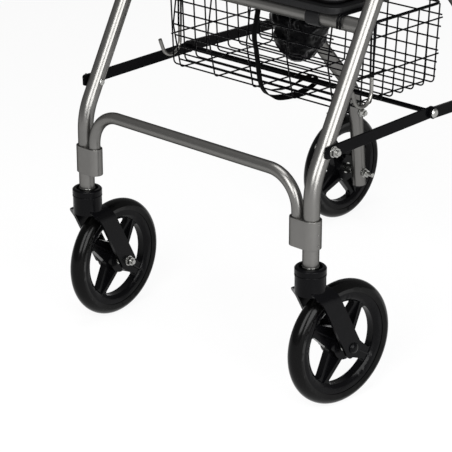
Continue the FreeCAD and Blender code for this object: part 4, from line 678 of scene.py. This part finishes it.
@dataclass
class FrontFrame:
    """Front legs, crossbar, brackets, seat tube, stems and the fittings on them."""

    beads: BeadTree
    weld_reach: float = 0.0157
    weld_lead: float = 0.002
    weld_bottom: float = 0.2765
    weld_top: float = 0.3095
    weld_radius: float = 0.0012
    weld_step: float = 0.013

    def build(self) -> None:
        """Dress the frame and add its weld spots."""
        for name, _ in SIDES:
            dressed("front_leg_" + name, SILVER)
        dressed("crossbar", SILVER)
        dressed("crossbar_brackets", SILVER, 0.6)
        dressed("seat_tube", SILVER)
        dressed("caster_stems", ZINC, 0.4)
        dressed("caster_bearings", ZINC)
        dressed("front_frame_bolts", ZINC, 0.3)
        dressed("handle_collars", PLASTIC, 0.4)
        self.weld_spots()

    def weld_spots(self) -> None:
        """A row of weld spots down the outer side of each bracket."""
        rows = [[Vector((side * (LEG_X + self.weld_reach), STEM_Y - self.weld_lead, height))
                 for height in (self.weld_bottom, self.weld_top)] for _, side in SIDES]
        self.beads.run("bracket_weld_spots", rows, SILVER, "front_frame", {
            "Step": self.weld_step, "Bead Radius": self.weld_radius, "Bead Length": self.weld_radius})


@dataclass
class BackRest:
    """The bowed tube behind the seat and its foam sleeve."""

    height: float = 0.795
    bow: float = 0.112
    sleeve_radius: float = 0.0135
    half_angle: float = 30.0
    steps: int = 60
    sides: int = 28
    end_narrowing: float = 0.35
    end_steepness: float = 28.0
    dents: float = 0.012
    dent_grain: float = 60.0

    def build(self) -> None:
        """Dress the tube and slip the sleeve over it."""
        dressed("backrest_hoop", SILVER)
        radius = (LEG_X ** 2 + self.bow ** 2) / (2 * self.bow)
        centre = Vector((0, leg_axis(self.height) + self.bow - radius, self.height))
        route, sizes = [], []
        for i in range(self.steps + 1):
            turn = radians(self.half_angle) * (2 * i / self.steps - 1)
            route.append(centre + Vector((radius * sin(turn), radius * cos(turn), 0)))
            from_end = min(i, self.steps - i) / self.steps
            sizes.append(1.0 - self.end_narrowing * max(0.0, 1 - from_end * self.end_steepness) ** 2)
        mesh = swept("backrest_sleeve", route, round_section(self.sleeve_radius, self.sides), UP)
        for index, vertex in enumerate(mesh.vertices):
            middle = route[index // self.sides]
            wave = 1 + self.dents * noise.noise(vertex.co * self.dent_grain)
            vertex.co = middle + (vertex.co - middle) * sizes[index // self.sides] * wave
        sleeve = new_object("backrest_sleeve", mesh, FOAM, "front_frame")
        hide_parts("backrest_pad")


@dataclass
class Caster:
    """One swivelling fork with its cap, axle and wheel."""

    side: str
    head_place: float = 0.0323
    head_form: Pairs = (
        (0, 0.0086), (0.0014, 0.0085), (0.0028, 0.0076), (0.0042, 0.0058), (0.0051, 0.0034), (0.0054, 0.001))

    def build(self) -> None:
        """Dress the fork and the wheel."""
        dressed("fork_" + self.side, NYLON, 1.6)
        dressed("caster_cap_" + self.side, NYLON, 0.6)
        dressed("front_axle_" + self.side, ZINC, 0.3)
        dressed("front_hub_bearings_" + self.side, ZINC)
        dressed("front_rim_" + self.side, NYLON, 0.8)
        dressed("front_tyre_" + self.side, RUBBER)
        self.head_cover()

    def head_cover(self) -> None:
        """A black cover on the axle bolt's dome head."""
        sign = -1 if self.side == "left" else 1
        turn = radians(TOE[self.side])
        axis = Vector((cos(turn), sin(turn), 0)) * sign
        low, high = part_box("front_hub_bearings_" + self.side)
        start = Vector((low[i] + high[i]) / 2 for i in range(3)) + axis * self.head_place
        new_object("bolt_cover_" + self.side, lathed("bolt_cover", self.head_form, start, axis), NYLON,
                   "caster_" + self.side)


@dataclass
class RearFrame:
    """Rear legs, their fittings, the rear wheels and the brakes on them."""

    def build(self) -> None:
        """Dress every solid of the rear frame."""
        for name, _ in SIDES:
            dressed("rear_leg_" + name, SILVER)
            dressed("rear_rim_" + name, NYLON, 0.8)
            dressed("rear_tyre_" + name, RUBBER)
            dressed("brake_shoe_" + name, BRAKE, 0.5)
        dressed("rear_leg_plugs", PLASTIC, 0.4)
        dressed("rear_frame_bolts", ZINC, 0.3)
        dressed("rear_spacers", ZINC)
        dressed("rear_hub_bearings", ZINC)
        dressed("brake_brackets", BRAKE, 0.6)


@dataclass
class Struts:
    """Folding side struts and the rod between their knees."""

    def build(self) -> None:
        """Dress the flat bars, the rod and the rivets."""
        dressed("front_struts", BLACK, 0.7)
        dressed("rear_struts", BLACK, 0.7)
        dressed("cross_rod", BLACK)
        dressed("knee_caps", ZINC, 0.4)


@dataclass
class Seat:
    """Board, clips and a stuffed cushion with piping."""

    swell: float = 0.006
    voxel: float = 0.005
    corner_radius: float = 0.022
    corner_steps: int = 8
    channel_depth: float = 0.0035
    channel_half_width: float = 0.005
    channel_floor: float = 0.014
    crown: float = 0.001
    piping_radius: float = 0.0024
    piping_level: float = 0.42
    piping_reach: float = 0.0005
    # Share of the cushion's thickness, and how far in its outline lies there.
    levels: Pairs = (
        (0.0, 0.008), (0.12, 0.003), (0.4, 0.002), (0.6, 0.006), (0.78, 0.016), (0.9, 0.036), (0.97, 0.07))

    def outline(self, inset: float, height: float) -> list[Vector]:
        """The cushion's rounded outline at a height, moved in by an inset."""
        low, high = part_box("seat_cushion")
        corners = corner_loop(high[0] - inset, low[1] + inset, high[1] - inset, height)
        return rounded_route(corners, self.corner_radius, self.corner_steps)[:-1]

    def build(self) -> None:
        """Dress the board and clips, and make the cushion."""
        dressed("seat_board", PLASTIC, 1.0)
        dressed("seat_hinge_clips", PLASTIC, 0.4)
        low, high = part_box("seat_cushion")
        thickness = high[2] - low[2]
        rings = [self.outline(inset, low[2] + thickness * share) for share, inset in self.levels]
        points = [p for ring in rings for p in ring]
        faces = loft_faces(len(rings), len(rings[0]))
        cushion = new_object("stuffed_seat", mesh_of("stuffed_seat", points, faces), VINYL, "seat")
        remeshed(cushion, self.voxel)
        inflated(cushion, self.swell, low[2])
        self.sew(cushion)
        fine = cushion.modifiers.new("fine", "SUBSURF")
        fine.levels = fine.render_levels = 1
        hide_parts("seat_cushion")
        self.piping(low[2] + thickness * self.piping_level)

    def sew(self, cushion: Object) -> None:
        """Press two sewn channels across the cushion and keep it under its top."""
        low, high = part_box("seat_cushion")
        thirds = [low[0] + (high[0] - low[0]) * share for share in (1 / 3, 2 / 3)]
        for vertex in cushion.data.vertices:
            if vertex.co.z > low[2] + self.channel_floor:
                for channel in thirds:
                    away = abs(vertex.co.x - channel) / self.channel_half_width
                    vertex.co.z -= self.channel_depth * exp(-away ** 2)
            vertex.co.z = min(vertex.co.z, high[2] + self.crown)

    def piping(self, height: float) -> None:
        """A welt round the cushion's seam."""
        route = self.outline(-self.piping_reach, height)
        mesh = swept("seat_piping", route, round_section(self.piping_radius, 10), UP, closed=True)
        new_object("seat_piping", mesh, VINYL, "seat")


@dataclass
class Basket:
    """The wire basket: bent wires welded across each other under a heavier rim."""

    wires: WireTree
    half_width: float = 0.186
    front: float = STEM_Y + 0.147
    length: float = 0.206
    floor: float = 0.431
    wall: float = 0.127
    flare: float = tan(radians(3.0))
    wire_radius: float = 0.0013
    wire_top: float = 1.02
    bend_radius: float = 0.007
    cross_wires: int = 8
    # Shares of the wall's height where wires run level, and where the front wall bends.
    side_levels: tuple[float, ...] = (0.381, 0.84)
    end_levels: tuple[float, ...] = (0.08, 0.17, 0.266, 0.417, 0.569, 0.72, 0.87)
    bend_level: float = 0.569
    bend_lead: float = 0.0162
    rim_lead: float = 0.008
    rear_skew: float = 0.008
    front_ends: tuple[float, float] = (-0.171, 0.161)
    lane_places: tuple[float, ...] = (-0.168, -0.091, -0.008, 0.075, 0.158)
    rim_radius: float = 0.0025
    rim_lift: float = 0.00125
    rim_corner: float = 0.016
    hanger_x: float = 0.203
    hanger_y: float = STEM_Y + 0.178
    hanger_radius: float = 0.0016
    hanger_corner: float = 0.01
    hanger_pair: float = 0.0028
    hanger_bottom: float = 0.483
    tube_reach: float = 0.0133
    lip: float = 0.020

    def lead(self, up: float) -> float:
        """How far the front wall has come forward at a height share."""
        if up <= self.bend_level:
            return self.bend_lead * up / self.bend_level
        part = (up - self.bend_level) / (1 - self.bend_level)
        return self.bend_lead + (self.rim_lead - self.bend_lead) * part

    def spot(self, x: float, rear: bool, up: float, out: float = 0.0) -> Vector:
        """A point on the front or rear wall.

        Args:
            x: How far across it is.
            rear: Whether it is on the rear wall.
            up: From 0 at the floor to 1 at the rim.
            out: How far outside the wall it lies.

        Returns:
            The point.
        """
        spread = self.flare * self.wall * up
        y = self.front + self.length + spread + out if rear else self.front - self.lead(up) - out
        return Vector((x, y, self.floor + self.wall * up))

    def half(self, up: float) -> float:
        """Half of the inner width at a height share."""
        return self.half_width + self.flare * self.wall * up

    def build(self) -> None:
        """Make the basket's wires, rim, hangers and hooks."""
        crossing = []
        for i in range(self.cross_wires + 1):
            y = self.front + self.length * i / self.cross_wires
            crossing.append([Vector((side * self.half(up), y, self.floor + self.wall * up))
                             for side, up in ((-1, self.wire_top), (-1, 0), (1, 0), (1, self.wire_top))])
        sizes = (self.wire_radius, self.bend_radius, 10)
        floor_wires = self.wires.bend("basket_cross_wires", crossing, *sizes)
        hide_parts("basket_floor", "basket_sides")
        out = 2 * self.wire_radius
        below = Vector((0, 0, -out))
        lengthwise = []
        for x in self.lane_places:
            ahead = [self.spot(x, False, up, out) for up in (self.wire_top, self.bend_level, 0)]
            behind = [self.spot(x + self.rear_skew, True, up, out) for up in (0, self.wire_top)]
            lengthwise.append(ahead[:2] + [ahead[2] + below, behind[0] + below, behind[1]])
        for level in self.side_levels:
            for side in (-1, 1):
                x = side * (self.half(level) + out)
                high = self.floor + self.wall * level
                lengthwise.append([Vector((x, self.front, high)), self.spot(x, True, level)])
        for level in self.end_levels:
            half = self.half(level) + self.wire_radius
            lengthwise.append([self.spot(x, False, level) for x in self.front_ends])
            lengthwise.append([self.spot(-half, True, level), self.spot(half, True, level)])
        end_wires = self.wires.bend("basket_long_wires", lengthwise, *sizes)
        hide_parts("basket_ends")
        self.rim()
        dressed("carry_hooks", NICKEL)

    def rim(self) -> None:
        """The heavier rim and the hangers that reach up over the seat tube."""
        top = self.floor + self.wall + self.rim_radius + self.rim_lift
        x = self.half(1)
        loop = corner_loop(x, self.spot(0, False, 1).y, self.spot(0, True, 1).y, top)
        over = SEAT_TUBE_HEIGHT + self.tube_reach
        ahead = leg_axis(SEAT_TUBE_HEIGHT) - self.tube_reach
        routes = []
        for _, side in SIDES:
            across = side * self.hanger_x
            for beside in (-self.hanger_pair, self.hanger_pair):
                routes.append([Vector((across + beside, y, z)) for y, z in (
                    (self.hanger_y, self.hanger_bottom), (self.hanger_y, over), (ahead, over),
                    (ahead, over - self.lip))])
            routes.append([Vector((side * x, self.hanger_y, top)), Vector((across, self.hanger_y, top))])
        rim = self.wires.bend("basket_rim_wire", [loop], self.rim_radius, self.rim_corner, 14)
        hangers = self.wires.bend("basket_hangers", routes, self.hanger_radius, self.hanger_corner, 12)
        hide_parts("basket_frame")
        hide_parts("basket_frame")


@dataclass
class Bag:
    """A thin crumpled bag lying in the basket."""

    centre_x: float = -0.045
    centre_y: float = STEM_Y + 0.295
    bottom: float = 0.4335
    width: float = 0.104
    depth: float = 0.076
    height: float = 0.112
    sides: int = 96
    rows: int = 56
    squareness: float = 2.6
    crease_grain: float = 38.0
    fine_grain: float = 2.3
    crease_shares: tuple[float, float] = (0.9, 0.45)
    crease_middle: float = 0.3
    crease_depth: float = 0.011
    pleats: int = 9
    pleat_sway: float = 3.0
    pleat_grain: float = 20.0
    pleat_depth: float = 0.0016
    sag: float = 0.004
    sag_place: tuple[float, float, float] = (9.0, 4.0, 2.0)
    # Height share, width share and depth share.
    forms: Triples = (
        (0.0, 0.22, 0.4), (0.06, 0.42, 0.7), (0.3, 0.74, 1.0), (0.6, 1.0, 0.95), (0.82, 0.92, 0.7),
        (0.95, 0.7, 0.4), (1.0, 0.5, 0.2))

    def share(self, up: float) -> tuple[float, float]:
        """Width and depth shares at a height share."""
        for (low, w0, d0), (high, w1, d1) in zip(self.forms, self.forms[1:]):
            if up <= high:
                part = (up - low) / (high - low)
                part = part * part * (3 - 2 * part)
                return w0 + (w1 - w0) * part, d0 + (d1 - d0) * part
        return self.forms[-1][1:]

    def crumpled(self, out: Vector, turn: float, up: float) -> Vector:
        """A point that lies out from the middle line, moved by creases, pleats and sag."""
        spot = Vector((self.centre_x, self.centre_y, self.bottom + self.height * up)) + out
        place = spot * self.crease_grain
        coarse, fine = self.crease_shares
        crease = abs(noise.noise(place)) * coarse + abs(noise.noise(place * self.fine_grain)) * fine
        sway = self.pleat_sway * noise.noise(spot * self.pleat_grain)
        pleat = sin(turn * self.pleats + sway) * (0.3 + up) * self.pleat_depth
        shift = (self.crease_middle - crease) * self.crease_depth * min(1.0, up * 8) + pleat
        spot += out.normalized() * shift
        spot.z = max(spot.z + noise.noise(place + Vector(self.sag_place)) * self.sag * up, self.bottom)
        return spot

    def build(self) -> None:
        """Loft the bag and crease it."""
        points, power = [], self.squareness
        for row in range(self.rows + 1):
            up = row / self.rows
            wide, deep = self.share(up)
            for k in range(self.sides):
                turn = 2 * pi * k / self.sides
                cosine, sine = cos(turn), sin(turn)
                square = (abs(cosine) ** power + abs(sine) ** power) ** (-1 / power)
                out = Vector((cosine * square * wide * self.width, sine * square * deep * self.depth, 0)) / 2
                points.append(self.crumpled(out, turn, up))
        faces = loft_faces(self.rows + 1, self.sides)
        bag = new_object("crumpled_bag", mesh_of("crumpled_bag", points, faces), BAG_NYLON, "basket")
        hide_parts("shopping_bag")


@dataclass
class PullStrap:
    """Webbing from the seat tube down in front of the basket and round the rod between the knees."""

    width: float = 0.0102
    thickness: float = 0.0016
    x: float = 0.018
    tube_height: float = SEAT_TUBE_HEIGHT
    tube_reach: float = 0.0155
    straight: float = 0.014
    steps: int = 4
    # Distance behind the stems, height and twist in degrees, from the seat tube to the sewn end.
    route: Triples = (
        (0.118, 0.525, 0), (0.1225, 0.5, 0), (0.1268, 0.475, 0), (0.131, 0.45, 0),
        (0.136, 0.437, 0), (0.1455, 0.4245, 0), (0.159, 0.416, 20), (0.174, 0.4105, 45),
        (0.198, 0.407, 62), (0.219, 0.406, 55), (0.235, 0.408, 30), (0.253, 0.4105, 5),
        (0.264, 0.4155, 0), (0.264, 0.4225, 0), (0.259, 0.4285, 0), (0.249, 0.4295, 0),
        (0.2375, 0.4292, 5), (0.2262, 0.4262, 15), (0.2135, 0.4236, 30), (0.2006, 0.422, 40),
        (0.1849, 0.4228, 38), (0.17, 0.425, 25), (0.156, 0.4275, 12))

    def build(self) -> None:
        """Lay the strap's ribbon."""
        start = leg_axis(self.tube_height) + self.tube_reach
        places = [(start, self.tube_height), (start, self.tube_height - self.straight)]
        places += [(STEM_Y + behind, height) for behind, height, _ in self.route]
        twists = [0.0, 0.0] + [twist for _, _, twist in self.route]
        knots = [Vector((self.x, y, z)) for y, z in places]
        route, turns = [], []
        for i in range(len(knots) - 1):
            before, after = knots[max(i - 1, 0)], knots[min(i + 2, len(knots) - 1)]
            for step in range(self.steps):
                part = step / self.steps
                route.append(smooth_point(before, knots[i], knots[i + 1], after, part))
                turns.append(twists[i] + (twists[i + 1] - twists[i]) * part)
        route.append(knots[-1])
        turns.append(twists[-1])
        half, flat = self.width / 2, self.thickness / 2
        section = [(half * across, flat * up) for across, up in (
            (-1, -0.5), (-1, 0.5), (-0.9, 1), (0.9, 1), (1, 0.5), (1, -0.5), (0.9, -1), (-0.9, -1))]
        mesh = swept("webbing_strap", route, section, Vector((1, 0, 0)), turns=turns)
        strap = new_object("webbing_strap", mesh, WEBBING, "front_frame")
        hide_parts("pull_strap")
        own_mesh(strap)


@dataclass
class Handle:
    """One telescopic handle with its grip, lever mount, lever and knob."""

    side: str
    steps: int = 150
    ridges: int = 18
    ridge_depth: float = 0.0011
    plain_share: float = 0.1
    waist: float = 0.0018
    rounding: float = 0.004
    bore: float = 0.0112
    mouth_drop: float = 0.003
    end_drop: float = 0.006
    end_radius: float = 0.0005

    def build(self) -> None:
        """Dress the handle's solids and mould its grip."""
        dressed("handle_tube_" + self.side, ZINC)
        dressed("lever_mount_" + self.side, PLASTIC, 0.5)
        dressed("brake_lever_" + self.side, BRAKE, 0.4)
        dressed("handle_knob_" + self.side, PLASTIC, 0.8)
        self.grip()

    def grip(self) -> None:
        """A waisted grip with ridges and rounded ends."""
        low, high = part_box("grip_" + self.side)
        radius = (high[0] - low[0]) / 2
        length = high[1] - low[1]
        centre = Vector(((low[0] + high[0]) / 2, low[1], (low[2] + high[2]) / 2))
        profile = [(0.0, self.bore), (0.0, radius - self.mouth_drop)]
        for i in range(1, self.steps):
            share = i / self.steps
            size = radius - self.waist * sin(pi * share) ** 2
            if self.plain_share < share < 1 - self.plain_share:
                ridged = (share - self.plain_share) / (1 - 2 * self.plain_share)
                size -= self.ridge_depth * (0.5 + 0.5 * cos(2 * pi * ridged * self.ridges))
            edge = min(share, 1 - share) * length
            if edge < self.rounding:
                size -= self.rounding - sqrt(max(0.0, self.rounding ** 2 - (self.rounding - edge) ** 2))
            profile.append((length * i / self.steps, size))
        profile += [(length, radius - self.end_drop), (length, self.end_radius)]
        grip = new_object("ridged_grip_" + self.side,
                          lathed("ridged_grip_" + self.side, profile, centre, Vector((0, 1, 0))),
                          FOAM, "handle_" + self.side)
        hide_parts("grip_" + self.side)


@dataclass
class Studio:
    """Camera, lamps and floor."""

    azimuth: float = 43.494
    elevation: float = 21.519
    lens: float = 157.96
    place: tuple[float, float, float] = (2.00904, -2.40576, 1.36770)
    target: tuple[float, float, float] = (0.0, 0.0, 0.35)
    world_strength: float = 0.3
    floor_glow: float = 0.9
    floor_size: float = 40.0
    # Lamp name, metres to the right of the view, metres towards the camera, height, width, tall, watts.
    lamps: tuple[tuple[str, *tuple[float, ...]], ...] = (
        ("left_softbox", -0.78, 2.1, 1.5, 1.0, 1.6, 50.0),
        ("right_softbox", 0.88, 2.0, 1.0, 1.2, 1.5, 52.0),
        ("top_softbox", -0.2, 0.2, 2.7, 1.4, 1.4, 36.0))

    def build(self) -> None:
        """Set up the camera, the lamps, the world and the floor."""
        scene = bpy.context.scene
        scene.view_settings.view_transform = "Standard"
        turn, rise = radians(self.azimuth), radians(self.elevation)
        back = Vector((sin(turn) * cos(rise), -cos(turn) * cos(rise), sin(rise)))
        lens = bpy.data.cameras.new("camera")
        lens.lens = self.lens
        lens.sensor_width = 36.0
        camera = placed("camera", lens)
        camera.location = self.place
        camera.rotation_mode = "QUATERNION"
        camera.rotation_quaternion = (-back).to_track_quat("-Z", "Y")
        scene.camera = camera
        right = Vector((cos(turn), sin(turn), 0))
        near = Vector((sin(turn), -cos(turn), 0))
        for name, across, ahead, height, width, tall, watts in self.lamps:
            lamp = bpy.data.lights.new(name, "AREA")
            lamp.shape = "RECTANGLE"
            lamp.size, lamp.size_y, lamp.energy = width, tall, watts
            holder = placed(name, lamp)
            holder.location = right * across + near * ahead + Vector((0, 0, height))
            aim = Vector(self.target) - holder.location
            holder.rotation_euler = aim.to_track_quat("-Z", "Y").to_euler()
            holder.visible_camera = False
        self.world()
        self.floor()

    def world(self) -> None:
        """An even pale room."""
        world = bpy.data.worlds.new("pale_room")
        bpy.context.scene.world = world
        world.use_nodes = True
        backdrop = world.node_tree.nodes["Background"]
        backdrop.inputs["Color"].default_value = linear("#ffffff")
        backdrop.inputs["Strength"].default_value = self.world_strength

    def floor(self) -> None:
        """A plain white floor that keeps the object's shadow."""
        half = self.floor_size / 2
        mesh = mesh_of("floor", [(-half, -half, 0), (half, -half, 0), (half, half, 0), (-half, half, 0)],
                       [(0, 1, 2, 3)])
        paper = bpy.data.materials.new("white_paper_floor")
        paper.use_nodes = True
        tree = paper.node_tree
        tree.nodes.remove(tree.nodes["Principled BSDF"])
        paths = add_node(tree, "ShaderNodeLightPath")
        seen = paths.outputs["Is Camera Ray"]
        for other in ("Is Glossy Ray", "Is Transmission Ray"):
            seen = add_node(tree, "ShaderNodeMath", {"operation": "MAXIMUM"},
                            {0: seen, 1: paths.outputs[other]}).outputs[0]
        share = add_node(tree, "ShaderNodeMath", {"operation": "MULTIPLY"}, {0: seen, 1: self.floor_glow})
        matt = add_node(tree, "ShaderNodeBsdfDiffuse", None, {"Color": linear("#f4f4f4")})
        glow = add_node(tree, "ShaderNodeEmission", None, {"Color": linear("#ffffff"), "Strength": 1.0})
        both = add_node(tree, "ShaderNodeMixShader", None, {
            0: share.outputs[0], 1: matt.outputs[0], 2: glow.outputs[0]})
        tree.links.new(both.outputs[0], tree.nodes["Material Output"].inputs["Surface"])
        floor = placed("floor", mesh)
        mesh.materials.append(paper)


def main() -> None:
    """Build the pieces in order and report each."""
    logging.basicConfig(level=logging.INFO, format="%(message)s")
    Studio().build()
    wires, beads = WireTree(), BeadTree()
    FrontFrame(beads).build()
    BackRest().build()
    for name, _ in SIDES:
        Caster(name).build()
        Handle(name).build()
    RearFrame().build()
    Struts().build()
    Seat().build()
    Basket(wires).build()
    Bag().build()
    PullStrap().build()


if __name__ == "__main__":
    main()
